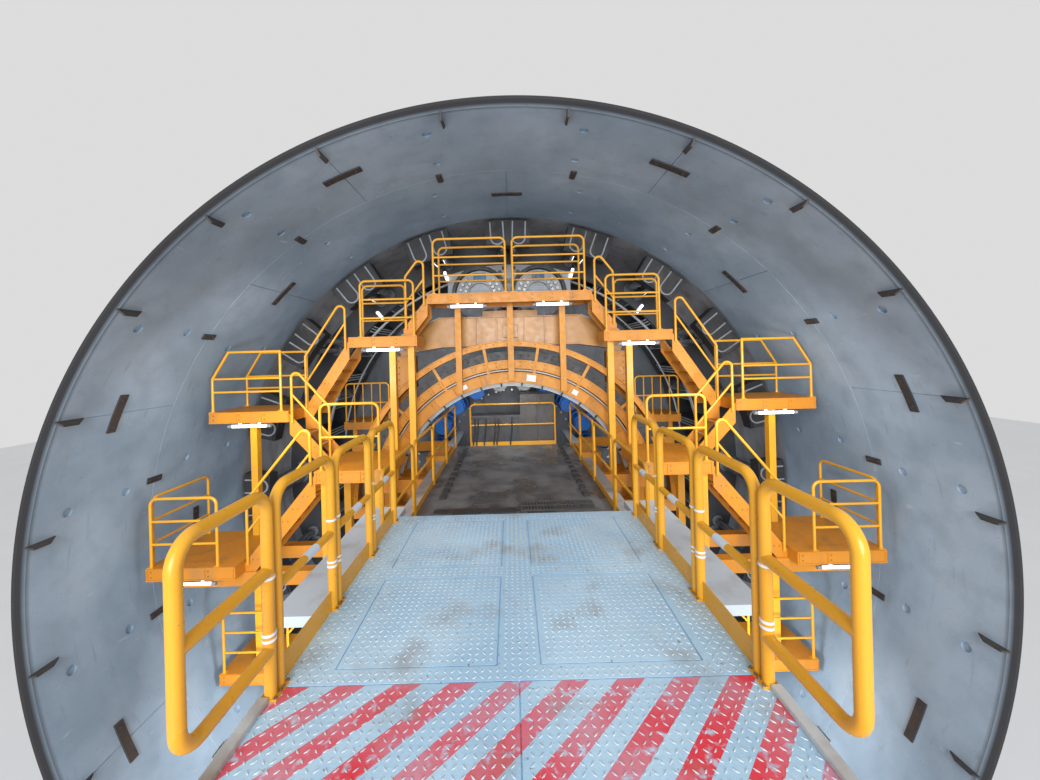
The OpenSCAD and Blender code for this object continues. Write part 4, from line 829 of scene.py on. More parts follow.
# %% Base plates of the railings
base_bm, base_bolt_bm = bmesh.new(), bmesh.new()
RAIL_POSTS = []
for name, x_values, y_values in (("top", (-1.49, 0.07, -0.07, 1.49), (-1.01, -0.39)),
                                 ("upper", (1.86, 2.89), (-1.16,)), ("upper", (2.16, 3.04), (-0.6403,)),
                                 ("mid", (4.17, 5.4), (-1.66, -0.74)), ("inner", (2.18, 3.13), (-2.36,)),
                                 ("lower", (4.7, 5.74), (-2.56,)), ("lower", (5.76,), (-2.51, -1.36)),
                                 ("lowest", (4.48, 5.32), (-1.66,)),
                                 ("walkway", (3.45, 3.69, 3.93, 4.17, 4.41, 4.65), (2.22,))):
    for x in x_values:
        for y in y_values:
            RAIL_POSTS.append((x, y, AXIS + PLATFORMS[name][2]))
            if name != "top":
                RAIL_POSTS.append((-x, y, AXIS + PLATFORMS[name][2]))
for x, y, z in RAIL_POSTS:
    block(base_bm, (x - 0.045, y - 0.034, z + 0.0003), (x + 0.045, y + 0.034, z + 0.010))
    rod(base_bm, (x, y, z + 0.010), (x, y, z + 0.05), 0.0275, 16, 0.0235)
    for across in (-0.034, 0.034):
        bolt(base_bolt_bm, (x + across, y, z + 0.010), (0, 0, 1), 0.007)
finish_piece(base_bm, "railing_bases", "railing_amber")
finish_piece(base_bolt_bm, "railing_bolts", "amber_bolt")

# %% [markdown]
# ## Lamps
# Tube lamps hang under the platforms' edges. Each has a cap at both ends and a thin reflector above it.
# Four short tilted tubes light the thrust ring from behind the top railings.

# %% Caps, reflectors and tilted tubes
finishes["lamp_cap"] = coat("lamp cap", (0.30, 0.31, 0.33), (0.24, 0.25, 0.27), (0.2, 0.18, 0.15), 0.2, 0.0,
                            (0.3, 0.5))
cap_bm, tube_bm = bmesh.new(), bmesh.new()
for x, y, rise in ((0.8424, -1.05, 4.11), (2.46, -1.2, 3.29), (4.735, -1.7, 1.97), (5.1, -2.6, -0.33)):
    for side in (-1, 1):
        z = AXIS + rise - 0.06
        for end in (-0.35, 0.35):
            cap_x = side * x + end
            rod(cap_bm, (cap_x - 0.035, y + 0.024, z), (cap_x + 0.035, y + 0.024, z), 0.029, 20)
        block(cap_bm, (side * x - 0.33, y + 0.004, z + 0.030), (side * x + 0.33, y + 0.044, z + 0.038))
for degrees in (49.8, 71.8, 108.2, 130.2):
    rod(tube_bm, at_angle(5.42, degrees, 2.09), at_angle(5.70, degrees, 2.09), 0.030, 16)
    for low, high in ((5.39, 5.425), (5.695, 5.73)):
        rod(cap_bm, at_angle(low, degrees, 2.09), at_angle(high, degrees, 2.09), 0.036, 16)
    block_at(cap_bm, 5.56, degrees, 2.144, (0.34, 0.10, 0.040))
finish_piece(cap_bm, "lamp_caps", "lamp_cap")
finish_piece(tube_bm, "ring_lamps", "glow", smooth=True)

# %% [markdown]
# ## Consoles of the man locks
# Behind the top railings a wide grey wall carries two cowled consoles. Each has a screen in its middle, a
# fan of round gauges on both sides of it and two rows of push buttons, and blank three-cornered plates lie
# on the wall. A gauge is a short dark cone with a pale dial and a thin hand. The cowls over the consoles
# are dark half rings, so a small flat face is spun over the top of each.

# %% Gauges, screens, buttons and blank plates
finishes["screen"] = coat("screen glass", (0.05, 0.22, 0.42), (0.03, 0.14, 0.30), (0.1, 0.1, 0.1), 0.1, 0.0,
                          (0.08, 0.15))
finishes["dial"] = coat("dial face", (0.82, 0.83, 0.82), (0.76, 0.77, 0.76), (0.5, 0.46, 0.4), 0.15, 0.0,
                        (0.15, 0.25))
finishes["bezel"] = coat("dark bezel", (0.06, 0.065, 0.07), (0.10, 0.10, 0.11), (0.2, 0.2, 0.2), 0.2, 0.0,
                         (0.2, 0.35))
WALL_Y, CONSOLE_Y, LOCK_Z = 2.1197, 1.9997, AXIS + 4.75
screen_bm, dial_bm, bezel_bm, button_bm, blank_bm, cowl_bm, wall_box_bm = (bmesh.new() for _ in range(7))

def arc_bar(bm, centre, radius, size, first, last, steps=24):
    # A flat bar bent round any middle: 0 degrees is to the right, 90 straight up.
    way = outward_at(first)
    frame = Matrix((way * size[0], Vector((0, size[1], 0)), way.cross(Vector((0, 1, 0)))))
    place = Matrix.Translation(Vector(centre) + way * radius) @ frame.transposed().to_4x4()
    face = bmesh.ops.create_grid(bm, x_segments=1, y_segments=1, size=0.5, matrix=place)["verts"]
    old = set(bm.verts) - set(face)
    spin_face(bm, face, centre, first - last, steps)
    return [v for v in bm.verts if v not in old]

for side in (-1, 1):
    x = side * 0.8
    for y, radius, size in ((2.0275, 0.7125, (0.075, 0.185)), (1.93, 0.755, (0.02, 0.02))):
        arc_bar(cowl_bm, (x, y, LOCK_Z), radius, size, -4, 184, 40)
    block(wall_box_bm, (side * 0.14 - 0.045, WALL_Y - 0.06, AXIS + 5.44),
          (side * 0.14 + 0.045, WALL_Y, AXIS + 5.52))
    rod(bezel_bm, (side * 0.25, WALL_Y, AXIS + 5.36),
        (side * 0.25, WALL_Y - 0.09, AXIS + 5.36), 0.062, 24, 0.055)
    block(bezel_bm, (x - 0.17, CONSOLE_Y - 0.022, LOCK_Z + 0.345),
          (x + 0.17, CONSOLE_Y + 0.001, LOCK_Z + 0.585))
    block(screen_bm, (x - 0.145, CONSOLE_Y - 0.0235, LOCK_Z + 0.37),
          (x + 0.145, CONSOLE_Y - 0.021, LOCK_Z + 0.56))
    for degrees in (14, 30, 46, 134, 150, 166):
        for radius in (0.40, 0.54):
            at = Vector((x, CONSOLE_Y, LOCK_Z)) + radius * outward_at(degrees)
            rod(bezel_bm, at, at - Vector((0, 0.030, 0)), 0.056, 24, 0.050)
            rod(dial_bm, at - Vector((0, 0.029, 0)), at - Vector((0, 0.032, 0)), 0.043, 24)
            hand = Vector((math.cos(degrees * 0.37), 0, math.sin(degrees * 0.37))) * 0.034
            rod(bezel_bm, at - Vector((0, 0.034, 0)), at - Vector((0, 0.034, 0)) + hand, 0.0025, 6, 0.001)
    for k in range(9):
        for row in (0.02, 0.065):
            at = Vector((x - 0.24 + 0.06 * k, WALL_Y, LOCK_Z + 0.13 + row))
            rod(button_bm, at, at - Vector((0, 0.020, 0)), 0.014, 12)
    for blank_x, blank_z in ((side * 1.60, 4.98), (side * 0.47, 5.44), (side * 0.09, 4.84)):
        bmesh.ops.create_cone(
            blank_bm, cap_ends=True, segments=3, radius1=0.085, radius2=0.085, depth=0.006,
            matrix=Matrix.Translation((blank_x, WALL_Y - 0.0035, AXIS + blank_z))
            @ Matrix.Rotation(math.radians(90), 4, "X") @ Matrix.Rotation(math.radians(180), 4, "Z"))
    rod(bezel_bm, (side * 0.06, WALL_Y, AXIS + 5.12),
        (side * 0.06, WALL_Y - 0.10, AXIS + 5.12), 0.05, 24, 0.065)
finish_piece(screen_bm, "console_screens", "screen")
finish_piece(dial_bm, "console_dials", "dial")
finish_piece(bezel_bm, "console_bezels", "bezel")
finish_piece(button_bm, "console_buttons", "tag")
finish_piece(blank_bm, "blank_plates", "blank_plate")
finish_piece(cowl_bm, "console_cowls", "dark_paint_and_shade")
finishes["red_box"] = coat("red box", (0.30, 0.02, 0.02), (0.22, 0.018, 0.018), (0.1, 0.05, 0.04), 0.3, 0.0)
finish_piece(wall_box_bm, "wall_boxes", "red_box")

# %% Panels of the wall
panel_bm = bmesh.new()
for low_x, high_x, low_z, high_z in ((-1.66, -1.50, 4.45, 5.2), (1.50, 1.66, 4.45, 5.2),
                                     (-1.44, -0.16, 4.43, 4.72), (0.16, 1.44, 4.43, 4.72),
                                     (-0.12, 0.12, 4.45, 4.72)):
    block(panel_bm, (low_x, WALL_Y - 0.009, AXIS + low_z), (high_x, WALL_Y + 0.0005, AXIS + high_z))
soften(panel_bm, 0.004)
finish_piece(panel_bm, "wall_panels", "console_grey")

# %% [markdown]
# ## Drive motors and the centre of the machine
# Twenty electric motors stand in a ring on the main drive, their fans towards the gangway. A fan cap is a
# round grille, so thin rings and spokes lie over its end. Each motor also has a terminal box on its outer
# side and a pair of cable glands. A helper makes one ring, a flat bar spun round the motor's own axis, and
# the loop sets four of them on each motor.

# %% Fan grilles and terminal boxes
DRIVE_Y, MOTOR_R, MOTOR_END = 3.78, 2.27, 2.53
grille_bm, terminal_bm, gland_bm = bmesh.new(), bmesh.new(), bmesh.new()

def ring_on(bm, centre, radius, thickness, depth, steps=28):
    # A flat ring that faces the gangway, spun round its own middle.
    place = Matrix.Translation(Vector(centre) + Vector((radius, -depth / 2, 0)))
    place = place @ Matrix.Diagonal((thickness, depth, 1.0, 1.0))
    face = bmesh.ops.create_grid(bm, x_segments=1, y_segments=1, size=0.5, matrix=place)["verts"]
    spin_face(bm, face, centre, 360, steps, True)

for k in range(20):
    degrees = (k + 0.5) * 18
    centre = at_angle(MOTOR_R, degrees, MOTOR_END)
    for radius in (0.05, 0.09, 0.13, 0.17):
        ring_on(grille_bm, centre, radius, 0.008, 0.012)
    for spoke in range(4):
        arm = outward_at(45 * spoke + degrees) * 0.185
        rod(grille_bm, centre - arm + Vector((0, -0.004, 0)), centre + arm + Vector((0, -0.004, 0)), 0.005, 6)
    rod(grille_bm, centre, centre - Vector((0, 0.02, 0)), 0.035, 16)
    block_at(terminal_bm, MOTOR_R + 0.26, degrees, MOTOR_END + 0.36, (0.13, 0.20, 0.26))
    block_at(terminal_bm, MOTOR_R + 0.329, degrees, MOTOR_END + 0.36, (0.014, 0.22, 0.28))
    for across in (-0.05, 0.05):
        start = at_angle(MOTOR_R + 0.25, degrees, MOTOR_END + 0.23) + across * outward_at(degrees + 90)
        rod(gland_bm, start, start - Vector((0, 0.05, 0)), 0.020, 8)
soften(terminal_bm, 0.006, 1)
finish_piece(grille_bm, "motor_grilles", "motor")
finish_piece(terminal_bm, "motor_terminal_boxes", "motor")
finish_piece(gland_bm, "motor_glands", "black_rubber")

# %% [markdown]
# ## Cables and pipes
# Two power cables bend back from each motor's terminal box, and a tray round the upper part of the drive
# takes those of the upper motors. A cable or pipe along a free route is best a curve: its points are few,
# and one round profile follows them. The helper takes the routes in metres and makes one curve object of
# them all. The next step uses it again, for the thrust cylinders' steel pipes.

# %% Pipes along routes
def pipe_run(name, routes, radius, finish, body="shield"):
    curve = bpy.data.curves.new(name, "CURVE")
    curve.dimensions = "3D"
    curve.bevel_depth = radius
    curve.bevel_resolution = 2
    curve.resolution_u = 5
    curve.use_fill_caps = True
    for route in routes:
        spline = curve.splines.new("NURBS")
        spline.points.add(len(route) - 1)
        for point, place in zip(spline.points, route):
            point.co = (*place, 1.0)
        spline.order_u = 3
        spline.use_endpoint_u = True
    curve.materials.append(finishes[finish])
    piece = bpy.data.objects.new(name, curve)
    bpy.context.collection.objects.link(piece)
    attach(piece, body)
    print(name, len(routes), "routes")

# How far the cable is out from the motor's middle, how far it is turned sideways, and its depth.
CABLE_BENDS = ((0.25, 1, 0.185), (0.26, 1, 0.08), (0.36, 1.5, 0.04), (0.50, 2, 0.10), (0.56, 2, 0.22))
motor_routes = []
for k in range(20):
    degrees = (k + 0.5) * 18
    for across in (-1.26, 1.26):
        motor_routes.append([at_angle(MOTOR_R + out, degrees + across * turn, MOTOR_END + depth)
                             for out, turn, depth in CABLE_BENDS])
pipe_run("motor_cables", motor_routes, 0.014, "black_rubber")

tray_bm = bmesh.new()
bent_bar(tray_bm, 2.86, MOTOR_END + 0.26, (0.012, 0.20), 24, 156, 72)
for depth in (0.17, 0.35):
    bent_bar(tray_bm, 2.83, MOTOR_END + depth, (0.07, 0.008), 24, 156, 72)
for k in range(12):
    degrees = 24 + 12 * k
    rod(tray_bm, at_angle(2.86, degrees, MOTOR_END + 0.26), at_angle(2.86, degrees, DRIVE_Y), 0.02, 8)
finish_piece(tray_bm, "cable_tray_ring", "girder_white")

# %% Bolts and centre of the main drive
drive_bm, drive_bolt_bm = bmesh.new(), bmesh.new()
for count, radius, size in ((72, 3.03, 0.030), (48, 1.965, 0.024)):
    for k in range(count):
        bolt(drive_bolt_bm, at_angle(radius, 360 / count * k, DRIVE_Y), (0, -1, 0), size)
CENTRE_Y = 3.43
STUB_STEPS = ((0.34, 0.0, 0.07), (0.26, 0.07, 0.26), (0.33, 0.26, 0.31), (0.20, 0.31, 0.50),
              (0.12, 0.5, 0.62))
for radius, near, far in STUB_STEPS:
    rod(drive_bm, (0, CENTRE_Y - near, AXIS), (0, CENTRE_Y - far, AXIS), radius, 40)
for k in range(12):
    bolt(drive_bolt_bm, at_angle(0.37, 30 * k, CENTRE_Y), (0, -1, 0), 0.018)
for k in range(6):
    rod(drive_bm, at_angle(0.24, 60 * k, CENTRE_Y - 0.16), at_angle(0.34, 60 * k, CENTRE_Y - 0.16), 0.035, 12)
soften(drive_bm, 0.006, sharp_only=True)
finish_piece(drive_bm, "drive_centre", "machine_grey")
finish_piece(drive_bolt_bm, "drive_bolts", "bolt_steel")

# %% [markdown]
# ## Thrust cylinders, seen through the ring
# Long grey cylinders stand side by side under the shield's skin. Each has a port block at both ends and a
# pale steel pipe from one to the other, bent like a shallow U. Three feed pipes lie between each two pairs,
# and three ring mains run round the upper half. The shoes that press on the lining have a rubber face, and
# on it two steel rims in the shape of a U.

# %% Port blocks, U pipes and ring mains
# Radius and y of the points where the pipes bend.
U_BENDS = ((5.68, 2.46), (5.60, 2.46), (5.56, 2.52), (5.56, 2.9), (5.56, 3.9), (5.56, 4.24), (5.60, 4.30),
           (5.68, 4.30))
FEED_BENDS = ((5.56, 2.36), (5.50, 2.42), (5.50, 3.4), (5.50, 4.40), (5.56, 4.46))
port_bm = bmesh.new()
u_routes, feed_routes = [], []
rod_angles = [18 * pair + side for pair in range(20) for side in (-1.45, 1.45)]
for degrees in rod_angles:
    for y in (2.46, 4.30):
        block_at(port_bm, 5.70, degrees, y, (0.06, 0.11, 0.14))
    u_routes.append([at_angle(radius, degrees, y) for radius, y in U_BENDS])
for degrees in range(9, 360, 18):
    for offset in (-0.9, 0, 0.9):
        feed_routes.append([at_angle(radius, degrees + offset, y) for radius, y in FEED_BENDS])
finish_piece(port_bm, "cylinder_ports", "machine_grey")
finishes["steel_pipe"] = coat("zinc pipe", (0.56, 0.58, 0.60), (0.44, 0.46, 0.48), (0.25, 0.2, 0.15), 0.3,
                              0.0, (0.22, 0.4), (1, 1, 1), 0.8)
pipe_run("cylinder_u_pipes", u_routes, 0.013, "steel_pipe")
pipe_run("oil_feeds", feed_routes, 0.017, "steel_pipe")
main_bm = bmesh.new()
for y in (2.72, 2.80, 4.05):
    bent_bar(main_bm, 5.49, y, (0.05, 0.05), 6, 174, 120, 10)
finish_piece(main_bm, "oil_ring_mains", "steel_pipe", smooth=True)

# %% Rubber faces and rims of the shoes
GROUPS = {"thrust_right": range(-2, 3), "thrust_top": range(3, 8), "thrust_left": range(8, 13),
          "thrust_bottom": range(13, 18)}
for body, pair_numbers in GROUPS.items():
    pad_bm, rim_bm = bmesh.new(), bmesh.new()
    for pair in pair_numbers:
        bent_bar(pad_bm, 5.85, SHOE_Y - 0.0125, (0.50, 0.025), 18 * pair - 4.7, 18 * pair + 4.7, 10)
        for half in (18 * pair - 2.42, 18 * pair + 2.42):
            verts = arc_bar(rim_bm, (5.725, SHOE_Y - 0.035, AXIS), 0.145, (0.030, 0.030), 90, 270, 14)
            for arm in (-0.145, 0.145):
                verts += block(rim_bm, (5.724, SHOE_Y - 0.050, AXIS + arm - 0.015),
                               (6.09, SHOE_Y - 0.020, AXIS + arm + 0.015))
            turned_about_axis(verts, rim_bm, -half)
            for radius in (5.66, 6.02):
                bolt(pad_bm, at_angle(radius, half, SHOE_Y - 0.0251), (0, -1, 0), 0.016)
    finish_piece(pad_bm, body + "_pads", "black_rubber", body)
    finish_piece(rim_bm, body + "_rims", "shield_grey", body)

# %% [markdown]
# ## Equipment box at the passage's end
# A brown-grey cabinet closes the passage. It has doors with hinges, handles and slatted vents. Thin raised
# panels with bevelled edges read as doors, because light catches the joint round them. The left part has
# dark covers in place of doors, and black pipes run down over them.

# %% Doors, handles and slats
door_bm, cover_bm, handle_bm, slat_bm = bmesh.new(), bmesh.new(), bmesh.new(), bmesh.new()
BOX_Y = 1.5003
DOORS = ((-1.07, -0.66, 0.76, 1.46), (-0.63, -0.22, 0.76, 1.46), (-0.19, 0.17, 0.76, 1.46),
         (0.23, 0.63, 0.76, 1.98), (0.67, 1.07, 0.76, 1.98))
for low_x, high_x, low_z, high_z in DOORS:
    block(door_bm if low_x > 0.2 else cover_bm, (low_x, BOX_Y - 0.014, AXIS + low_z),
          (high_x, BOX_Y + 0.001, AXIS + high_z))
    for slat in range(7):
        z = AXIS + high_z - 0.09 - 0.025 * slat
        block(slat_bm, (low_x + 0.07, BOX_Y - 0.024, z - 0.008), (high_x - 0.07, BOX_Y - 0.0135, z + 0.002))
    middle = (low_z + high_z) / 2
    grip_x = high_x - 0.05
    rod(handle_bm, (grip_x, BOX_Y - 0.04, AXIS + middle - 0.06), (grip_x, BOX_Y - 0.04, AXIS + middle + 0.06),
        0.008, 10)
    for end in (-0.055, 0.055):
        rod(handle_bm, (grip_x, BOX_Y - 0.04, AXIS + middle + end),
            (grip_x, BOX_Y - 0.012, AXIS + middle + end), 0.006, 8)
    for hinge in (low_z + 0.1, high_z - 0.1):
        rod(handle_bm, (low_x + 0.006, BOX_Y - 0.018, AXIS + hinge - 0.035),
            (low_x + 0.006, BOX_Y - 0.018, AXIS + hinge + 0.035), 0.010, 10)
soften(door_bm, 0.005)
finish_piece(door_bm, "box_doors", "motor_box_grey")
finish_piece(cover_bm, "box_covers", "dark_paint_and_shade")
box_routes = [[(x, 1.50, AXIS + 1.44), (x, 1.44, AXIS + 1.40), (x, 1.44, AXIS + 1.1),
               (x - 0.05, 1.44, AXIS + 0.85), (x - 0.05, 1.44, AXIS + 0.74)]
              for x in (-0.98, -0.90, -0.70, -0.45, -0.37, -0.02)]
pipe_run("box_pipes", box_routes, 0.018, "black_rubber")
finish_piece(handle_bm, "box_handles", "bolt_steel")
finish_piece(slat_bm, "box_slats", "motor_box_grey")

# %% [markdown]
# ## The erector
# The erector lifts curved wall segments: a ring turns on a carriage that slides along the girders, and two
# guides on the ring carry the lifting head. The ring is built up of plates, held by two circles of bolts
# with short ribs between them, and three bent bars lie round its lower half. The lifting head is a smooth
# orange box with ribs, grip pads and two grey cover plates on its shoulders. Each piece rides with the body
# that it is bolted to.

# %% Ring, guides and head of the erector
ring_bolt_bm, ring_bm, head_bm, plate_bm, pad_bm = (bmesh.new() for _ in range(5))
RING_Y, HEAD_Y = -0.186, -0.2
for k in range(60):
    for radius in (2.675, 3.085):
        if abs(at_angle(radius, 6 * k, 0).x) < 2.08:
            bolt(ring_bolt_bm, at_angle(radius, 6 * k, RING_Y), (0, -1, 0), 0.020)
for k in range(20):
    if abs(at_angle(2.88, 18 * k + 9, 0).x) < 2.02:
        block_at(ring_bm, 2.88, 18 * k + 9, RING_Y - 0.011, (0.30, 0.030, 0.024))
for k in range(3):
    bent_bar(ring_bm, 2.76 + 0.045 * k, RING_Y - 0.013, (0.026, 0.026), 212, 328, 60, 8)
for side in (-1, 1):
    for z in range(11):
        for across in (-0.15, 0.15):
            bolt(ring_bolt_bm, (side * 2.3 + across, RING_Y, AXIS + 1.64 + 0.135 * z), (0, -1, 0), 0.016)
    for x in (0.25, 0.55):
        bolt(ring_bolt_bm, (side * x, RING_Y, AXIS - 3.18), (0, -1, 0), 0.030)
    for x in (0.30, 0.75, 1.20):
        block(head_bm, (side * x - 0.015, HEAD_Y - 0.032, AXIS + 3.30),
              (side * x + 0.015, HEAD_Y + 0.001, AXIS + 3.89))
    for z in (3.24, 3.36, 3.48):
        rod(head_bm, (side * 2.3, HEAD_Y + 0.001, AXIS + z),
            (side * 2.3, HEAD_Y - 0.016, AXIS + z), 0.020, 12)
    verts = block(plate_bm, (-0.46, -0.16, -0.012), (0.46, 0.16, 0.012))
    bmesh.ops.rotate(plate_bm, verts=verts, cent=(0, 0, 0),
                     matrix=Matrix.Rotation(side * math.radians(23), 3, "Y"))
    bmesh.ops.translate(plate_bm, verts=verts, vec=(side * 1.965, 0.0, AXIS + 3.741))
    for x in (0.18, 0.45):
        rod(pad_bm, (side * x, 0.0, AXIS + 4.049), (side * x, 0.0, AXIS + 4.085), 0.11, 24, 0.095)
for low, high in ((3.27, 3.30), (3.89, 3.919)):
    block(head_bm, (-1.49, HEAD_Y - 0.034, AXIS + low), (1.49, HEAD_Y + 0.001, AXIS + high))
block(head_bm, (-0.16, HEAD_Y - 0.050, AXIS + 3.45), (0.16, HEAD_Y + 0.001, AXIS + 3.72))
soften(head_bm, 0.005, sharp_only=True)
finish_piece(ring_bolt_bm, "erector_bolts", "amber_bolt", "erector_rotor_body")
finish_piece(ring_bm, "erector_ribs", "arch_amber", "erector_rotor_body")
finish_piece(head_bm, "head_ribs", "erector_orange", "erector_head_body")
finish_piece(plate_bm, "head_plates", "console_grey", "erector_head_body")
finish_piece(pad_bm, "grip_pads", "black_rubber", "erector_head_body")

# %% Drives and shoes of the carriage
carriage_bm, carriage_bolt_bm = bmesh.new(), bmesh.new()
for degrees in (35, 145, 215, 325):
    rod(carriage_bm, at_angle(2.875, degrees, 0.919), at_angle(2.875, degrees, 0.965), 0.125, 28, 0.105)
    for k in range(8):
        bolt(carriage_bolt_bm, at_angle(2.875, degrees, 0.92) + 0.148 * outward_at(45 * k), (0, 1, 0), 0.014)
    block_at(carriage_bm, 2.875 - 0.19, degrees, 0.80, (0.10, 0.12, 0.14))
for k in range(72):
    bolt(carriage_bolt_bm, at_angle(3.10, 5 * k, 0.5), (0, 1, 0), 0.016)
for side in (-1, 1):
    for k in range(8):
        for rise in (-0.62, 0.72):
            bolt(carriage_bolt_bm, (side * 1.995, 0.27 + 0.12 * k, AXIS + rise), (side, 0, 0), 0.018)
finish_piece(carriage_bm, "turn_drive_caps", "motor", "erector_carriage_body")
finish_piece(carriage_bolt_bm, "carriage_bolts", "amber_bolt", "erector_carriage_body")

# %% [markdown]
# ## The cutting wheel
# The far end is a steel wheel with discs that crush rock. Each disc is held by a bolted clamp at both ends
# of its shaft, spray nozzles sit between the arms, and hard weld beads and wear plates protect the face and
# the rim. All of these are small flat pieces, laid out by the same sums as the discs themselves.

# %% Clamps, nozzles and wear beads
FACE_Y = 7.65
clamp_bm, bead_bm, nozzle_bm, wheel_bolt_bm = (bmesh.new() for _ in range(4))
discs = [(1.0 + 0.48 * i + 0.072 * k, 60 * k) for k in range(6) for i in range(10)]
discs += [(radius, degrees) for degrees in (30, 150, 270) for radius in (0.31, 0.62)]
for radius, degrees in discs:
    for side in (-1, 1):
        # A clamp lies beyond each end of the disc's shaft, which points along the spoke.
        middle = Vector((radius + side * 0.150, FACE_Y + 0.008, AXIS))
        verts = block(clamp_bm, middle - Vector((0.032, 0.010, 0.15)), middle + Vector((0.032, 0.010, 0.15)))
        turned_about_axis(verts, clamp_bm, -degrees)
        for end in (-0.10, 0.10):
            at = at_angle(radius + side * 0.150, degrees, FACE_Y + 0.018) + end * outward_at(degrees + 90)
            bolt(wheel_bolt_bm, at, (0, 1, 0), 0.014)
for k in range(6):
    for radius in (1.5, 2.9, 4.3):
        at = at_angle(radius, 60 * k + 18, FACE_Y)
        rod(nozzle_bm, at, at + Vector((0, 0.035, 0)), 0.045, 20, 0.030)
for radius in (0.86, 1.25, 5.99):
    bent_bar(bead_bm, radius, FACE_Y + 0.002, (0.022, 0.022), 0, 360, 120)
for k in range(72):
    verts = block(bead_bm, (6.255, 7.26, AXIS - 0.10), (6.282, 7.455, AXIS + 0.10))
    turned_about_axis(verts, bead_bm, 5 * k)
soften(clamp_bm, 0.004, 1)
finish_piece(clamp_bm, "cutter_clamps", "cutter_steel", "cutting_head")
finish_piece(bead_bm, "wear_beads", "cutter_steel", "cutting_head")
finish_piece(nozzle_bm, "spray_nozzles", "bolt_steel", "cutting_head")
finish_piece(wheel_bolt_bm, "wheel_bolts", "bolt_steel", "cutting_head")

# %% [markdown]
# ## Girders, portal and pipes at the rear
# Two long girders carry the deck and the erector. Upright stiffeners stand on their outer sides, and a
# portal with two wheels bears their rear end. Two slurry pipes lie under the deck, each with three
# couplings and a ring of bolts in its end flange. This is the end that is seen from nearby, so bolts and
# edges matter.

# %% Stiffeners, couplings and hubs
GIRDER_X, PORTAL_Y, LEG_X = 1.775, -6.85, 2.6
stiff_bm, rear_bolt_bm, coupling_bm = (bmesh.new() for _ in range(3))
for side, wheel_body in ((-1, "wheel_left"), (1, "wheel_right")):
    hub_bm = bmesh.new()
    for k in range(9):
        y = -7.35 + 0.55 * k
        if abs(y - PORTAL_Y) > 0.25:
            block(stiff_bm, (side * (GIRDER_X - 0.001), y - 0.010, AXIS - 0.56),
                  (side * (GIRDER_X + 0.09), y + 0.010, AXIS + 0.64))
    for k in range(14):
        for rise in (-0.52, 0.60):
            bolt(rear_bolt_bm, (side * GIRDER_X, -7.42 + 0.35 * k, AXIS + rise), (side, 0, 0), 0.018)
    for y in (-7.2, -5.4, -3.6):
        rod(coupling_bm, (side * 0.7, y - 0.12, AXIS - 0.23), (side * 0.7, y + 0.12, AXIS - 0.23), 0.235, 40)
        block(coupling_bm, (side * 0.7 - 0.05, y - 0.08, AXIS - 0.02),
              (side * 0.7 + 0.05, y + 0.08, AXIS + 0.04))
    for k in range(12):
        centre = Vector((side * 0.7, REAR_Y + 0.1, AXIS - 0.23))
        bolt(rear_bolt_bm, centre + 0.242 * outward_at(30 * k), (0, -1, 0), 0.016)
    for end in (-1, 1):
        x = side * LEG_X + end * 0.14
        rod(hub_bm, (x, PORTAL_Y, 0.4), (x + end * 0.006, PORTAL_Y, 0.4), 0.20, 32, 0.197)
        for k in range(8):
            away = Vector((0, math.cos(k * math.pi / 4), math.sin(k * math.pi / 4))) * 0.155
            bolt(hub_bm, Vector((x + end * 0.006, PORTAL_Y, 0.4)) + away, (end, 0, 0), 0.008)
    finish_piece(hub_bm, wheel_body + "_hub", "gantry_dark", wheel_body)
    for x in (-0.12, 0.12):
        for rise in (-0.75, -0.68):
            bolt(rear_bolt_bm, (side * LEG_X + x, PORTAL_Y - 0.15, AXIS + rise), (0, -1, 0), 0.018)
        for k in range(8):
            bolt(rear_bolt_bm, (side * LEG_X + x, PORTAL_Y - 0.15, AXIS - 1.1 - 0.5 * k), (0, -1, 0), 0.014)
soften(coupling_bm, 0.008, sharp_only=True)
finish_piece(stiff_bm, "girder_stiffeners", "girder_white")
finish_piece(coupling_bm, "slurry_couplings", "pipe_grey")
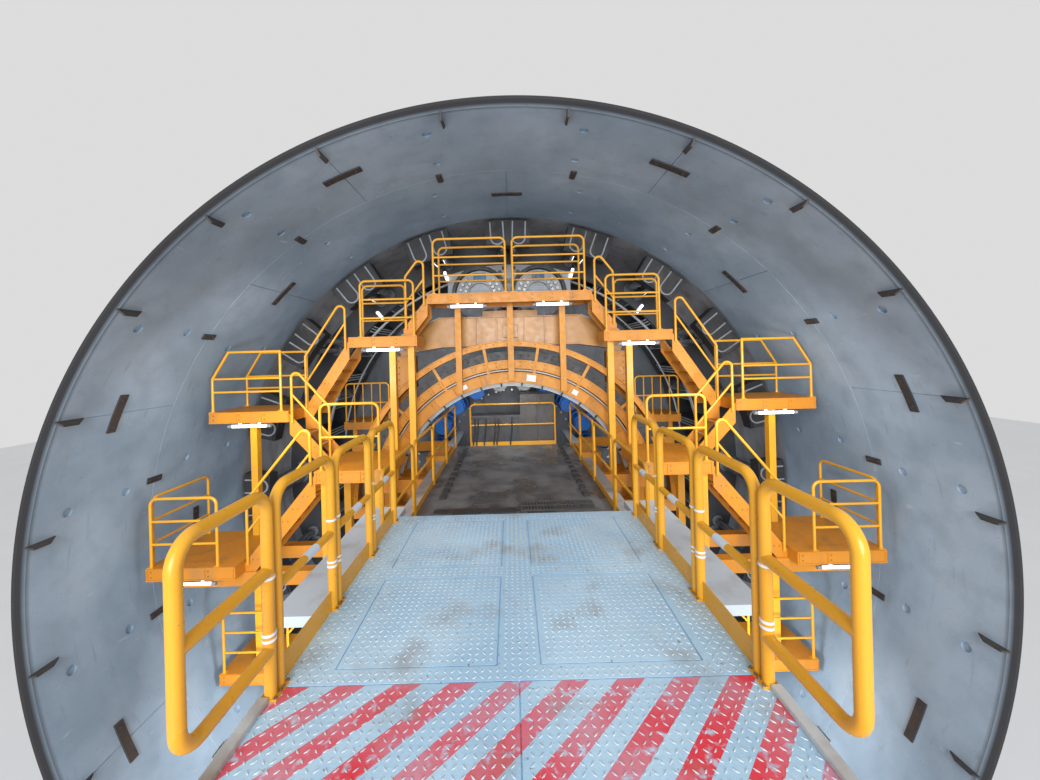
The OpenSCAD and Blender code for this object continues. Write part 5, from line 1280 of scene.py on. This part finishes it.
finish_piece(rear_bolt_bm, "rear_bolts", "bolt_steel")

# %% Grating and kerb of the passage
grate_bm, kerb_bm = bmesh.new(), bmesh.new()
FLOOR_Z = AXIS + 0.72
for k in range(24):
    x = 0.10 + 0.048 * k
    block(grate_bm, (x, -2.84, FLOOR_Z - 0.001), (x + 0.012, -2.50, FLOOR_Z + 0.022))
for y in (-2.85, -2.675, -2.50):
    block(grate_bm, (0.09, y, FLOOR_Z - 0.001), (1.23, y + 0.012, FLOOR_Z + 0.024))
block(kerb_bm, (-1.22, -2.86, FLOOR_Z - 0.001), (0.02, -2.72, FLOOR_Z + 0.014))
for k in range(12):
    for x in (-1.24, 1.14):
        block(kerb_bm, (x, -2.3 + 0.3 * k, FLOOR_Z - 0.001), (x + 0.1, -2.1 + 0.3 * k, FLOOR_Z + 0.03))
finish_piece(grate_bm, "passage_grating", "gantry_dark")
finish_piece(kerb_bm, "passage_kerbs", "chain_black")

# %% [markdown]
# ## Skin of the shield
# The shield is made of rings that are bolted and welded at site, so flat bands cover its joints, and
# injection ports sit between them. The bands are hardly thicker than the weld, since soil slides along
# them. They stop short of the top, the bottom and both sides, where the shield is as wide as it may be.

# %% Joint bands and ports
band_bm, port_bm = bmesh.new(), bmesh.new()
for quarter in range(4):
    for y in (SEAM_Y, 2.0, 4.9):
        bent_bar(band_bm, 6.303, y, (0.016, 0.12), 90 * quarter + 6, 90 * quarter + 84, 52)
        for k in range(26):
            for across in (-0.035, 0.035):
                degrees = 90 * quarter + 7.5 + 3 * k
                bolt(port_bm, at_angle(6.311, degrees, y + across), outward_at(degrees), 0.009)
for degrees in (20, 45, 70, 110, 135, 160, 200, 250, 290, 340):
    for y in (-3.0, 0.9, 3.2, 5.9):
        rod(port_bm, at_angle(6.29, degrees, y), at_angle(6.318, degrees, y), 0.075, 24, 0.065)
        bolt(port_bm, at_angle(6.318, degrees, y), outward_at(degrees), 0.022)
finish_piece(band_bm, "joint_bands", "shield_grey")
finish_piece(port_bm, "injection_ports", "shield_grey")
